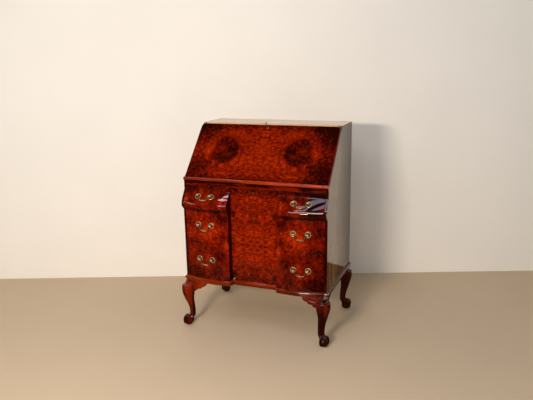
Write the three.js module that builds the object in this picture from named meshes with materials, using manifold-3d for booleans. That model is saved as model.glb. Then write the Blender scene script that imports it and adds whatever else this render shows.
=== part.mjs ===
// Slant-front writing bureau on cabriole legs with ball-and-claw feet.
// Three long drawers have blocked and bowed fronts, and the top one swells out in an ogee bulge.
// The fall turns on pins at the centre of the rounded nosing and comes to rest on two lopers.
// Millimetres, +Z up, the front faces -Y. The origin is on the floor, midway between the four feet.
// While the pieces are made, y is counted from the face of the frieze, and the last lines move it.
import * as THREE from 'three';
import { mergeVertices } from 'three/addons/utils/BufferGeometryUtils.js';
import Module from 'manifold-3d';

const wasm = await Module();
wasm.setup();

// Driving dimensions of the case
const CASE_WIDTH = 726;
const CASE_DEPTH = 432;
const CASE_HEIGHT = 1000;
const LEG_HEIGHT = 234;
const WRITING_LEVEL_SHARE = 0.76;
const CLEARANCE = 0.3;
const SLIDE_CLEARANCE = 1;
const OVERRUN = 5;

// Boards
const SIDE_THICKNESS = 20;
const SIDE_LIP = 12;
const TOP_THICKNESS = 18;
const TOP_LAP = 3;
const BACK_THICKNESS = 8;
const BACK_REBATE = 8;
const RAIL_THICKNESS = 16;
const FLOOR_THICKNESS = 12;
const FRONT_THICKNESS = 22;

// Nosing, fall and frieze
const NOSING_HEIGHT = 15;
const NOSE_RADIUS = 9.4;
const NOSE_PROJECTION = 8;
const NOSING_DEPTH = 34;
const GROOVE_CLEARANCE = 0.8;
const FRIEZE_HEIGHT = 23;
const FALL_TOP_SHARE = 0.5025;
const FALL_THICKNESS = 16;
const FALL_CORNER = 22;
const FALL_MOULD_WIDTH = 5;
const FALL_MOULD_DEPTH = 9;
const FALL_FIELD_RISE = 2;
const LOPER_WIDTH = 36;
const LOPER_LENGTH_SHARE = 0.764;
const LOPER_INSET = 43;
const LOPER_PROUD = 1.5;
const GUIDE_WIDTH = 14;

// Blocked front: shares of the drawer space, and the plan of each block
const DRAWER_SHARES = [0.263, 0.338, 0.399];
const DRAWER_SEAM = 1.6;
const BLOCK_INNER_SHARE = 0.3306;
const BLOCK_RETURN = 3.5;
const BLOCK_DEPTH_INNER = 28;
const BLOCK_DEPTH_OUTER = 15;
const BLOCK_BOW = 13;
const BLOCK_STEPS = 7;
const BULGE_NOSE = 21;
const BULGE_TOP_SHARE = 0.18;
const BULGE_FOOT_SHARE = 0.985;

// Drawer boxes
const BOX_WALL = 10;
const BOX_FLOOR = 6;
const BOX_DEPTH_SHARE = 0.8;
const BOX_HEIGHT_SHARE = 0.86;

// Base moulding and leg
const MOULDING_HEIGHT = 24;
const MOULDING_PROJECTION = 8.5;
const MOULDING_WIDTH = 60;
const MOULDING_RETURN = 35;
const FOOT_INSET = 8;
const FOOT_Y = -35;
const BACK_FOOT_INSET = 14.5;
const FOOT_SWING = 24;
const KNEE_RADIUS = 31;
const BALL_RADIUS = 22;
const FLAT_UNDER_BALL = 1.5;
const EAR_LENGTH = 98;
const EAR_DROP = 52;
const EAR_THICKNESS = 24;
const EAR_BAND = 8;
const EAR_SWING_SHARE = 0.55;
const SIDE_EAR_SHARE = 1.1;

// Brass handles
const HANDLE_PLACE_SHARE = 0.528;
const POST_SPACING = 70;
const ROSE_RADIUS = 14.5;
const EYE_HEIGHT = 12.5;
const PIN_RADIUS = 2;
const PIN_FIT = 0.2;
const BAIL_DROP = 26;
const BAIL_LEAN_DEG = 13;
const SEAT_DEPTH = 1.4;
const BOLT_RADIUS = 2.5;
const BOLT_LENGTH = 14;

// Locks and key
const KEYHOLE_DROP = 21;
const KEY_TUBE_RADIUS = 5;
const KEY_BORE = 2.5;
const LOCK_WIDTH = 46;
const LOCK_HEIGHT = 32;
const LOCK_DEPTH = 10;
const LOCK_ABOVE_KEY = 4;
const FALL_KEY_DROP = 22;
const KEY_SHANK_RADIUS = 2.1;
const KEY_REACH = 24;
const KEY_BOW_RADIUS = 9.5;
const KEY_BOW_WIRE = 2.2;
const LOCK_BOLT_WIDTH = 12;
const LOCK_BOLT_HEIGHT = 6;
const LOCK_BOLT_BELOW_KEY = 12;
const LOCK_BOLT_THROW = 8;

// Hinge arms at the ends of the fall
const ARM_THICKNESS = 3;
const ARM_SIDE_GAP = 0.6;
const ARM_EYE_RADIUS = 5;
const ARM_LEAF_WIDTH = 20;
const ARM_LEAF_LENGTH = 40;
const ARM_LEAF_THICKNESS = 2;
const ARM_PIN_RADIUS = 2.5;
const ARM_PIN_REACH = 5;

// Pigeonholes
const UNIT_SETBACK = 27;
const UNIT_WALL = 6;
const UNIT_BACK = 3;
const UNIT_BAY_HEIGHT = 44;
const UNIT_COLUMNS = 6;
const UNIT_ARCH_RISE = 22;
const UNIT_DRAWER_WALL = 5;
const KNOB_RADIUS = 6;
const KNOB_REACH = 11;

// Facets
const WELD = 1e-4;
const ROUND_SIDES = 12;
const ARC_STEPS = 6;
const CUT_SIDES = 12;
const LEG_SIDES = 11;
const ROSE_SIDES = 9;
const EYE_SIDES = 6;
const BAIL_SIDES = 6;
const BALL_SIDES = 9;
const BALL_RINGS = 6;

// Levels and places worked out from the driving dimensions
const HALF = CASE_WIDTH / 2;
const INNER_HALF = HALF - SIDE_THICKNESS;
const OPENING_HALF = HALF - SIDE_LIP;
const CASE_FLOOR = LEG_HEIGHT + MOULDING_HEIGHT;
const WRITING_LEVEL = CASE_HEIGHT * WRITING_LEVEL_SHARE;
const NOSING_FLOOR = WRITING_LEVEL - NOSING_HEIGHT;
const DRAWER_TOP = NOSING_FLOOR - FRIEZE_HEIGHT;
const DRAWER_SPACE = DRAWER_TOP - CASE_FLOOR;
const DRAWER_NAMES = ['upper', 'middle', 'lower'];
const SIDES = [['left', -1], ['right', 1]];
const FRIEZE_REAR_FLOOR = DRAWER_TOP - RAIL_THICKNESS;
const RAIL_FRONT = FRONT_THICKNESS + CLEARANCE;
const BLOCK_INNER = BLOCK_INNER_SHARE * HALF;
const HANDLE_X = BLOCK_INNER + (OPENING_HALF - BLOCK_INNER) * HANDLE_PLACE_SHARE;
const LOPER_OFFSET = INNER_HALF - LOPER_INSET;
const LOPER_LENGTH = CASE_DEPTH * LOPER_LENGTH_SHARE;
const BOX_DEPTH = CASE_DEPTH * BOX_DEPTH_SHARE;
const FOOT_X = HALF - FOOT_INSET;
const BACK_FOOT_Y = CASE_DEPTH - BACK_FOOT_INSET;
const BACK_FACE = CASE_DEPTH - BACK_THICKNESS - CLEARANCE;

// Centre of the nosing's round, where the hinge pins lie
const PIVOT = { y: NOSE_RADIUS - NOSE_PROJECTION, z: WRITING_LEVEL - NOSE_RADIUS };
const TOP_FROM_PIVOT = { y: CASE_DEPTH * FALL_TOP_SHARE - PIVOT.y, z: CASE_HEIGHT - PIVOT.z };
const SLOPE = Math.atan2(TOP_FROM_PIVOT.z, TOP_FROM_PIVOT.y)
  - Math.asin((FALL_THICKNESS - NOSE_RADIUS) / Math.hypot(TOP_FROM_PIVOT.z, TOP_FROM_PIVOT.y));
const SLOPE_COS = Math.cos(SLOPE);
const SLOPE_SIN = Math.sin(SLOPE);
const FOOT_GAP = NOSE_RADIUS + CLEARANCE;
const PIVOT_UNDER_FACE = FALL_THICKNESS - NOSE_RADIUS;
const FALL_FOOT = {
  y: PIVOT.y + FOOT_GAP * SLOPE_COS - PIVOT_UNDER_FACE * SLOPE_SIN,
  z: PIVOT.z + FOOT_GAP * SLOPE_SIN + PIVOT_UNDER_FACE * SLOPE_COS,
};
const FALL_LENGTH = (CASE_HEIGHT - FALL_FOOT.z) / SLOPE_SIN;
const FALL_HEEL = {
  y: FALL_FOOT.y + FALL_THICKNESS * SLOPE_SIN,
  z: FALL_FOOT.z - FALL_THICKNESS * SLOPE_COS,
};
const GROOVE_FLOOR = FALL_HEEL.z - GROOVE_CLEARANCE;

// Where the slanted edges that the closed fall rests on lie at a height
const seatY = (z) => FALL_HEEL.y + (z - FALL_HEEL.z) / Math.tan(SLOPE) + CLEARANCE / SLOPE_SIN;

// Colours
const finish = (color, roughness, metalness) =>
  () => new THREE.MeshStandardMaterial({ color, roughness, metalness });
const burr = finish(0x7a1e0a, 0.18, 0);
const moulded = finish(0xa83a12, 0.2, 0);
const dark = finish(0x3c1208, 0.22, 0);
const inner = finish(0x8a5a34, 0.6, 0);
const brass = finish(0xa58f55, 0.35, 1);
const steel = finish(0x6e6a60, 0.4, 1);

// Solids
function weld(geometry) {
  const loose = geometry.index ? geometry.toNonIndexed() : geometry;
  const bare = new THREE.BufferGeometry();
  bare.setAttribute('position', loose.getAttribute('position'));
  const merged = mergeVertices(bare, WELD);
  const faces = [];
  for (let i = 0; i < merged.index.count; i += 3) {
    const [a, b, c] = [0, 1, 2].map((k) => merged.index.getX(i + k));
    if (a !== b && b !== c && c !== a) faces.push(a, b, c);
  }
  merged.setIndex(faces);
  return merged;
}

function toSolid(geometry) {
  const welded = weld(geometry);
  const position = welded.getAttribute('position');
  const triVerts = new Uint32Array(welded.index.array);
  const vertProperties = new Float32Array(position.array);
  const corner = [0, 1, 2].map(() => new THREE.Vector3());
  let volume = 0;
  for (let i = 0; i < triVerts.length; i += 3) {
    corner.forEach((point, k) => point.fromBufferAttribute(position, triVerts[i + k]));
    volume += corner[0].dot(corner[1].clone().cross(corner[2]));
  }
  if (volume < 0) {
    for (let i = 0; i < triVerts.length; i += 3) {
      [triVerts[i + 1], triVerts[i + 2]] = [triVerts[i + 2], triVerts[i + 1]];
    }
  }
  return new wasm.Manifold(new wasm.Mesh({ numProp: 3, vertProperties, triVerts }));
}

function toGeometry(solid) {
  const made = solid.getMesh();
  const geometry = new THREE.BufferGeometry();
  geometry.setAttribute('position', new THREE.BufferAttribute(made.vertProperties, made.numProp));
  geometry.setIndex(new THREE.BufferAttribute(made.triVerts, 1));
  geometry.computeVertexNormals();
  return geometry;
}

const joined = (parts) => parts.map(toSolid).reduce((a, b) => a.add(b));
const without = (solid, cuts) => cuts.map(toSolid).reduce((a, b) => a.subtract(b), solid);

function box(x0, x1, y0, y1, z0, z1) {
  const geometry = new THREE.BoxGeometry(x1 - x0, y1 - y0, z1 - z0);
  return geometry.translate((x0 + x1) / 2, (y0 + y1) / 2, (z0 + z1) / 2);
}

function polygon(points) {
  return new THREE.Shape(points.map(([u, v]) => new THREE.Vector2(u, v)));
}

// An outline drawn in y and z, drawn out along x
function prismX(shape, x0, x1, curveSegments = ARC_STEPS) {
  const geometry = new THREE.ExtrudeGeometry(shape, { depth: x1 - x0, bevelEnabled: false, curveSegments });
  const turn = new THREE.Matrix4().makeBasis(
    new THREE.Vector3(0, 1, 0), new THREE.Vector3(0, 0, 1), new THREE.Vector3(1, 0, 0));
  return geometry.applyMatrix4(turn).translate(x0, 0, 0);
}

// An outline drawn in x and z, drawn out along y
function prismY(shape, y0, y1, options = {}) {
  const settings = { depth: y1 - y0, bevelEnabled: false, curveSegments: ROUND_SIDES, ...options };
  const geometry = new THREE.ExtrudeGeometry(shape, settings);
  const turn = new THREE.Matrix4().makeBasis(
    new THREE.Vector3(1, 0, 0), new THREE.Vector3(0, 0, 1), new THREE.Vector3(0, -1, 0));
  return geometry.applyMatrix4(turn).translate(0, y1, 0);
}

// An outline drawn in x and y, drawn out along z
function prismZ(shape, z0, z1) {
  return new THREE.ExtrudeGeometry(shape, { depth: z1 - z0, bevelEnabled: false }).translate(0, 0, z0);
}

function meshFrom(points, faces) {
  const geometry = new THREE.BufferGeometry();
  geometry.setAttribute('position', new THREE.Float32BufferAttribute(points.flat(), 3));
  geometry.setIndex(faces);
  return geometry;
}

// A skin through rings of as many points each, closed by a cap at both ends
function loft(rings, u = 0, v = 1) {
  const size = rings[0].length;
  const faces = [];
  for (let r = 0; r + 1 < rings.length; r += 1) {
    for (let i = 0; i < size; i += 1) {
      const [a, b] = [r * size + i, r * size + (i + 1) % size];
      faces.push(a, b, b + size, a, b + size, a + size);
    }
  }
  const cap = (ring, base, flip) => {
    const contour = ring.map((point) => new THREE.Vector2(point[u], point[v]));
    for (const [a, b, c] of THREE.ShapeUtils.triangulateShape(contour, [])) {
      faces.push(base + a, base + (flip ? c : b), base + (flip ? b : c));
    }
  };
  cap(rings[0], 0, true);
  cap(rings[rings.length - 1], (rings.length - 1) * size, false);
  return meshFrom(rings.flat(), faces);
}

// A shaped front face on a flat back: rows of points from the bottom to the top
function relief(rows, backY) {
  const columns = rows[0].length;
  const points = rows.flat();
  const faces = [];
  const quad = (a, b, c, d) => faces.push(a, b, c, a, c, d);
  for (let r = 0; r + 1 < rows.length; r += 1) {
    for (let c = 0; c + 1 < columns; c += 1) {
      const a = r * columns + c;
      quad(a, a + 1, a + columns + 1, a + columns);
    }
  }
  const low = points.length;
  rows[0].forEach(([x, , z]) => points.push([x, backY, z]));
  const high = points.length;
  rows[rows.length - 1].forEach(([x, , z]) => points.push([x, backY, z]));
  const top = (rows.length - 1) * columns;
  for (let c = 0; c + 1 < columns; c += 1) {
    quad(low + c, low + c + 1, c + 1, c);
    quad(top + c, top + c + 1, high + c + 1, high + c);
    quad(low + c + 1, low + c, high + c, high + c + 1);
  }
  for (const [column, flip] of [[0, true], [columns - 1, false]]) {
    const edge = rows.map((_, r) => r * columns + column);
    edge.push(high + column);
    for (let i = 0; i + 1 < edge.length; i += 1) {
      faces.push(low + column, flip ? edge[i] : edge[i + 1], flip ? edge[i + 1] : edge[i]);
    }
  }
  return meshFrom(points, faces);
}

// A bar of changing radius through points of one plane, with flat ends
function bar(points, radii, sides, planeNormal) {
  const path = points.map((point) => new THREE.Vector3(...point));
  const rings = path.map((centre, i) => {
    const after = path[Math.min(i + 1, path.length - 1)];
    const tangent = after.clone().sub(path[Math.max(i - 1, 0)]).normalize();
    const across = planeNormal.clone().cross(tangent);
    return Array.from({ length: sides }, (_, k) => {
      const angle = (k / sides) * Math.PI * 2;
      const ring = centre.clone().addScaledVector(across, Math.cos(angle) * radii[i]);
      return ring.addScaledVector(planeNormal, Math.sin(angle) * radii[i]).toArray();
    });
  });
  const faces = [];
  const last = (points.length - 1) * sides;
  for (let r = 0; r < last; r += sides) {
    for (let k = 0; k < sides; k += 1) {
      const [a, b] = [r + k, r + (k + 1) % sides];
      faces.push(a, b, b + sides, a, b + sides, a + sides);
    }
  }
  for (let k = 1; k + 1 < sides; k += 1) {
    faces.push(0, k + 1, k);
    faces.push(last, last + k, last + k + 1);
  }
  return meshFrom(rings.flat(), faces);
}

function turned(profile, sides = ROUND_SIDES) {
  return new THREE.LatheGeometry(profile.map(([r, h]) => new THREE.Vector2(r, h)), sides);
}

// Radius of a many-sided cut that clears a round piece all the way round
const cutRadius = (radius) => (radius + CLEARANCE) / Math.cos(Math.PI / CUT_SIDES);

// A cylinder along an axis given by name
function rod(axis, radius, from, to, sides = ROUND_SIDES) {
  const geometry = new THREE.CylinderGeometry(radius, radius, to - from, sides);
  geometry.translate(0, (from + to) / 2, 0);
  if (axis === 'x') geometry.rotateZ(-Math.PI / 2);
  if (axis === 'z') geometry.rotateX(Math.PI / 2);
  return geometry;
}

const bureau = new THREE.Group();
function place(name, solid, material, parent = bureau) {
  const mesh = new THREE.Mesh(toGeometry(solid), material());
  mesh.name = name;
  parent.add(mesh);
  return mesh;
}

// Plan of the blocked front: how far the face stands before the frieze at a place along the width
function blockDepth(x) {
  const along = Math.abs(x);
  const recessEdge = BLOCK_INNER - BLOCK_RETURN;
  if (along <= recessEdge) return 0;
  if (along < BLOCK_INNER) return BLOCK_DEPTH_INNER * (along - recessEdge) / BLOCK_RETURN;
  const share = Math.min(1, (along - BLOCK_INNER) / (OPENING_HALF - BLOCK_INNER));
  const chord = BLOCK_DEPTH_INNER + (BLOCK_DEPTH_OUTER - BLOCK_DEPTH_INNER) * share;
  return chord + BLOCK_BOW * 4 * share * (1 - share);
}

function planStations(end) {
  const block = Array.from({ length: BLOCK_STEPS + 1 },
    (_, i) => end - (end - BLOCK_INNER) * i / BLOCK_STEPS);
  const half = [...block, BLOCK_INNER - BLOCK_RETURN];
  return [...half.map((x) => -x), ...half.reverse()];
}

// Drawer levels: each drawer's space between two seams, from the top
const DRAWER_LEVELS = DRAWER_SHARES.map((share, i) => {
  const above = DRAWER_SHARES.slice(0, i).reduce((a, b) => a + b, 0);
  const top = DRAWER_TOP - DRAWER_SPACE * above;
  return { top, bottom: i === DRAWER_SHARES.length - 1 ? CASE_FLOOR : top - DRAWER_SPACE * share };
});

// The ogee bulge: shares of its height, of the block's depth and of the nose's projection
const BULGE_SHARES = [
  [0, 0, 0], [0.09, 0.15, 0.15], [0.235, 0.41, 0.41], [0.41, 0.71, 0.71], [0.53, 0.88, 0.87],
  [0.61, 0.96, 0.95], [0.68, 1, 1], [0.75, 1, 0.99], [0.82, 1, 0.86], [0.885, 1, 0.6],
  [0.95, 1, 0.25], [1, 1, 0],
];
const UPPER = DRAWER_LEVELS[0];
const UPPER_HEIGHT = UPPER.top - UPPER.bottom;
const BULGE_TOP = UPPER.top - UPPER_HEIGHT * BULGE_TOP_SHARE;
const BULGE_HEIGHT = UPPER_HEIGHT * (BULGE_FOOT_SHARE - BULGE_TOP_SHARE);
const bulgeZ = (share) => BULGE_TOP - BULGE_HEIGHT * share;
const bulgeOut = (depth, row) => (
  depth * row[1] + BULGE_NOSE * row[2] * Math.min(1, depth / BLOCK_DEPTH_OUTER)
);

// Place of the handles on the bulge, and the slope there between the second and the fourth row
const BULGE_HANDLE_SHARES = [0.28, 0.487, 0.487];
const HANDLE_ROWS = [BULGE_SHARES[1], BULGE_SHARES[3]];
const HANDLE_DEPTH = blockDepth(HANDLE_X);
const BULGE_TILT = Math.atan2(
  bulgeOut(HANDLE_DEPTH, HANDLE_ROWS[1]) - bulgeOut(HANDLE_DEPTH, HANDLE_ROWS[0]),
  bulgeZ(HANDLE_ROWS[0][0]) - bulgeZ(HANDLE_ROWS[1][0]));

// Outline of the nosing from its underside round the front to the groove behind it
function addNosePath(shape) {
  const lowerRound = NOSING_HEIGHT - NOSE_RADIUS;
  shape.lineTo(lowerRound - NOSE_PROJECTION, NOSING_FLOOR);
  shape.absellipse(lowerRound - NOSE_PROJECTION, PIVOT.z, lowerRound, lowerRound,
    -Math.PI / 2, -Math.PI, true, 0);
  const drop = (GROOVE_FLOOR - PIVOT.z) / NOSE_RADIUS;
  shape.absarc(PIVOT.y, PIVOT.z, NOSE_RADIUS, Math.PI, Math.asin(drop), true);
  shape.lineTo(seatY(GROOVE_FLOOR), GROOVE_FLOOR);
}

// Carcass side with the bulge and the nosing worked on its front edge
function makeSide(name, sign) {
  const lapFloor = CASE_HEIGHT - TOP_LAP - CLEARANCE;
  const shape = new THREE.Shape();
  shape.moveTo(-BLOCK_DEPTH_OUTER, CASE_FLOOR + CLEARANCE);
  [...BULGE_SHARES].reverse().forEach((row) => {
    shape.lineTo(-bulgeOut(BLOCK_DEPTH_OUTER, row), bulgeZ(row[0]));
  });
  shape.lineTo(0, NOSING_FLOOR);
  addNosePath(shape);
  shape.lineTo(seatY(lapFloor), lapFloor);
  shape.lineTo(CASE_DEPTH, lapFloor);
  shape.lineTo(CASE_DEPTH, CASE_FLOOR + CLEARANCE);
  const board = toSolid(prismX(shape, INNER_HALF, HALF));
  const lipCut = box(INNER_HALF - OVERRUN, OPENING_HALF, -BLOCK_DEPTH_OUTER - BULGE_NOSE - OVERRUN,
    RAIL_FRONT, CASE_FLOOR - OVERRUN, NOSING_FLOOR);
  const backCut = box(INNER_HALF - OVERRUN, INNER_HALF + BACK_REBATE, BACK_FACE,
    CASE_DEPTH + OVERRUN, CASE_FLOOR - OVERRUN, CASE_HEIGHT + OVERRUN);
  const pinEnd = INNER_HALF + ARM_PIN_REACH + PIN_FIT;
  const pinHole = rod('x', ARM_PIN_RADIUS + PIN_FIT, INNER_HALF - OVERRUN, pinEnd);
  pinHole.translate(0, PIVOT.y, PIVOT.z);
  const side = place(name, without(board, [lipCut, backCut, pinHole]), dark);
  if (sign < 0) mirrorX(side);
}

// Mirror a mesh in the middle plane by its vertices, with its faces turned back outwards
function mirrorX(mesh) {
  mesh.geometry.scale(-1, 1, 1);
  const { index } = mesh.geometry;
  for (let i = 0; i < index.count; i += 3) {
    const second = index.getX(i + 1);
    index.setX(i + 1, index.getX(i + 2));
    index.setX(i + 2, second);
  }
  mesh.geometry.computeVertexNormals();
}

// Top board, lapped over the sides, with its front edge cut to the slope
function makeTop() {
  const profile = (floor) => polygon([
    [seatY(floor), floor], [CASE_DEPTH, floor],
    [CASE_DEPTH, CASE_HEIGHT], [seatY(CASE_HEIGHT), CASE_HEIGHT],
  ]);
  const middle = INNER_HALF - CLEARANCE;
  place('top_board', joined([
    prismX(profile(CASE_HEIGHT - TOP_THICKNESS), -middle, middle),
    prismX(profile(CASE_HEIGHT - TOP_LAP), -HALF, HALF),
  ]), dark);
}

// Rail under the top board that the fall closes against, with the mortise for the lock's bolt
const FALL_RAIL_HEIGHT = 34;
const FALL_RAIL_DEPTH = 24;
const UNDER_TOP = CASE_HEIGHT - TOP_THICKNESS - CLEARANCE;
function makeFallRail() {
  const floor = UNDER_TOP - FALL_RAIL_HEIGHT;
  const rear = seatY(UNDER_TOP) + FALL_RAIL_DEPTH;
  const shape = polygon([
    [seatY(floor), floor], [rear, floor], [rear, UNDER_TOP], [seatY(UNDER_TOP), UNDER_TOP],
  ]);
  const end = INNER_HALF - CLEARANCE;
  const mortise = box(
    -LOCK_BOLT_WIDTH / 2 - SLIDE_CLEARANCE, LOCK_BOLT_WIDTH / 2 + SLIDE_CLEARANCE,
    BOLT_PLACE - LOCK_BOLT_HEIGHT / 2 - SLIDE_CLEARANCE,
    BOLT_PLACE + LOCK_BOLT_HEIGHT / 2 + SLIDE_CLEARANCE,
    -FALL_THICKNESS - LOCK_BOLT_THROW - SLIDE_CLEARANCE, -FALL_THICKNESS + OVERRUN);
  mortise.applyMatrix4(FALL_FRAME);
  place('fall_rail', without(toSolid(prismX(shape, -end, end)), [mortise]), dark);
}

// Framed back panel in the rebates of the sides
const BACK_FRAME = 55;
const BACK_FIELD_DEPTH = 3;
function makeBack() {
  const half = INNER_HALF + BACK_REBATE - CLEARANCE;
  const [low, high] = [CASE_FLOOR + CLEARANCE, UNDER_TOP];
  const panel = toSolid(box(-half, half, CASE_DEPTH - BACK_THICKNESS, CASE_DEPTH, low, high));
  const middle = (low + high) / 2;
  const fields = [
    [low + BACK_FRAME, middle - BACK_FRAME / 2], [middle + BACK_FRAME / 2, high - BACK_FRAME],
  ];
  place('back_panel', without(panel, fields.map(([z0, z1]) => box(
    -half + BACK_FRAME, half - BACK_FRAME,
    CASE_DEPTH - BACK_FIELD_DEPTH, CASE_DEPTH + OVERRUN, z0, z1))), inner);
}

// Nosing between the hinge arms, and the writing board behind it
const NOSING_END = INNER_HALF - ARM_THICKNESS - 2 * ARM_SIDE_GAP;
function makeWritingLevel() {
  const shape = new THREE.Shape();
  shape.moveTo(NOSING_DEPTH, NOSING_FLOOR + CLEARANCE);
  shape.lineTo(0, NOSING_FLOOR + CLEARANCE);
  addNosePath(shape);
  shape.lineTo(seatY(WRITING_LEVEL), WRITING_LEVEL);
  shape.lineTo(NOSING_DEPTH, WRITING_LEVEL);
  const holes = [-1, 1].map((sign) => rod('x', ARM_PIN_RADIUS + PIN_FIT,
    sign * NOSING_END - ARM_PIN_REACH - PIN_FIT, sign * NOSING_END + ARM_PIN_REACH + PIN_FIT)
    .translate(0, PIVOT.y, PIVOT.z));
  place('nosing', without(toSolid(prismX(shape, -NOSING_END, NOSING_END)), holes), moulded);
  const end = INNER_HALF - CLEARANCE;
  place('writing_board', toSolid(box(-end, end, NOSING_DEPTH + CLEARANCE, BACK_FACE,
    NOSING_FLOOR + CLEARANCE, WRITING_LEVEL)), inner);
}

// Frieze rail with a notch for each loper, its rear part carried down behind the drawer front
function makeFrieze() {
  const top = NOSING_FLOOR - CLEARANCE;
  const frontEnd = OPENING_HALF - CLEARANCE;
  const rearEnd = INNER_HALF - CLEARANCE;
  const rail = joined([
    box(-frontEnd, frontEnd, 0, RAIL_FRONT, DRAWER_TOP, top),
    box(-rearEnd, rearEnd, FRONT_THICKNESS / 2, RAIL_FRONT, DRAWER_TOP, top),
    box(-rearEnd, rearEnd, RAIL_FRONT, RAIL_FRONT + FRONT_THICKNESS, FRIEZE_REAR_FLOOR, top),
  ]);
  const notch = LOPER_WIDTH / 2 + SLIDE_CLEARANCE / 2;
  place('frieze_rail', without(rail, [-1, 1].map((sign) => box(
    sign * LOPER_OFFSET - notch, sign * LOPER_OFFSET + notch,
    -OVERRUN, RAIL_FRONT + FRONT_THICKNESS + OVERRUN,
    LOPER_FLOOR - CLEARANCE, top + OVERRUN))), burr);
}

// Lopers, and the shelf with guides that they slide on
const LOPER_FLOOR = DRAWER_TOP + 2 * CLEARANCE;
const LOPER_TOP = PIVOT.z - PIVOT_UNDER_FACE - CLEARANCE;
const SHELF_FRONT = RAIL_FRONT + FRONT_THICKNESS + CLEARANCE;
function makeLopers() {
  const end = INNER_HALF - CLEARANCE;
  const guideTop = NOSING_FLOOR - CLEARANCE;
  const guideEdge = LOPER_WIDTH / 2 + SLIDE_CLEARANCE / 2;
  const guides = [-1, 1].flatMap((sign) => [-guideEdge - GUIDE_WIDTH, guideEdge].map((offset) => box(
    sign * LOPER_OFFSET + offset, sign * LOPER_OFFSET + offset + GUIDE_WIDTH,
    SHELF_FRONT, SHELF_FRONT + LOPER_LENGTH, DRAWER_TOP - RAIL_THICKNESS / 2, guideTop)));
  place('loper_shelf', joined([
    box(-end, end, SHELF_FRONT, BACK_FACE, FRIEZE_REAR_FLOOR, DRAWER_TOP), ...guides,
  ]), inner);
  for (const [word, sign] of SIDES) {
    place(`loper_${word}`, toSolid(box(
      sign * LOPER_OFFSET - LOPER_WIDTH / 2, sign * LOPER_OFFSET + LOPER_WIDTH / 2,
      -LOPER_PROUD, LOPER_LENGTH, LOPER_FLOOR, LOPER_TOP)), burr);
  }
}

// Dust boards between the drawers, and the carcass floor
function makeDrawerBoards() {
  const end = INNER_HALF - CLEARANCE;
  for (const [name, level] of [['drawer_rail_upper', 0], ['drawer_rail_lower', 1]]) {
    const seam = DRAWER_LEVELS[level].bottom;
    place(name, toSolid(box(-end, end, RAIL_FRONT, BACK_FACE,
      seam - RAIL_THICKNESS / 2, seam + RAIL_THICKNESS / 2)), inner);
  }
  place('carcass_floor', toSolid(box(-end, end, RAIL_FRONT, BACK_FACE,
    CASE_FLOOR + CLEARANCE, CASE_FLOOR + CLEARANCE + FLOOR_THICKNESS)), inner);
}

// A handle's own frame: local y stands out of the face, local z runs down it
const HANDLE_HEIGHT_SHARES = [BULGE_HANDLE_SHARES[0], 0.42, 0.448];
function handleFrame(drawer, sign) {
  const upper = drawer === 0;
  const { top, bottom } = DRAWER_LEVELS[drawer];
  const row = BULGE_HANDLE_SHARES;
  const z = upper ? bulgeZ(row[0]) : top - (top - bottom) * HANDLE_HEIGHT_SHARES[drawer];
  const depthAt = (x) => (upper ? bulgeOut(blockDepth(x), row) : blockDepth(x));
  const half = POST_SPACING / 2;
  const [near, far] = [depthAt(HANDLE_X - half), depthAt(HANDLE_X + half)];
  const frame = new THREE.Group();
  frame.rotation.order = 'ZXY';
  frame.rotation.set(Math.PI - (upper ? BULGE_TILT : 0), 0, sign * Math.atan2(near - far, POST_SPACING));
  frame.position.set(sign * HANDLE_X, -(near + far) / 2 + SEAT_DEPTH, z);
  frame.updateMatrix();
  return frame;
}

// Turned rose and post: shares of the rose's radius, and shares of the eye's height
const ROSE_SHARES = [
  [0.97, 0], [1, 0.06], [0.9, 0.17], [0.6, 0.12], [0.27, 0.32], [0.28, 0.6],
  [0.43, 0.85], [0.42, 1.15], [0, 1.5],
];
function roseSolid() {
  const profile = [[0, -BOLT_LENGTH], [BOLT_RADIUS, -BOLT_LENGTH], [BOLT_RADIUS, 0],
    ...ROSE_SHARES.map(([r, h]) => [r * ROSE_RADIUS, h * EYE_HEIGHT])];
  const eyeRadius = (PIN_RADIUS + PIN_FIT) / Math.cos(Math.PI / EYE_SIDES);
  const eye = rod('x', eyeRadius, -ROSE_RADIUS, ROSE_RADIUS, EYE_SIDES).translate(0, EYE_HEIGHT, 0);
  return without(toSolid(turned(profile, ROSE_SIDES)), [eye]);
}

// Swan-neck bail: shares of half the post spacing, of its drop, and of the pin's radius
const BAIL_SHARES = [
  [1.13, 0, 1], [0.97, 0, 1], [0.82, 0, 1], [0.755, 0.06, 1.05], [0.735, 0.2, 1.1], [0.73, 0.42, 1.15],
  [0.66, 0.67, 1.2], [0.47, 0.87, 1.3], [0.27, 0.96, 1.75], [0, 1, 1.4],
];
function bailSolid(leanDeg) {
  const half = POST_SPACING / 2;
  const left = BAIL_SHARES.map(([along, down]) => [-along * half, EYE_HEIGHT, down * BAIL_DROP]);
  const right = left.slice(0, -1).reverse().map(([x, y, z]) => [-x, y, z]);
  const radii = BAIL_SHARES.map(([, , share]) => share * PIN_RADIUS);
  const bail = bar([...left, ...right], [...radii, ...radii.slice(0, -1).reverse()], BAIL_SIDES,
    new THREE.Vector3(0, 1, 0));
  bail.translate(0, -EYE_HEIGHT, 0).rotateX(THREE.MathUtils.degToRad(leanDeg));
  return toSolid(bail.translate(0, EYE_HEIGHT, 0));
}

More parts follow.
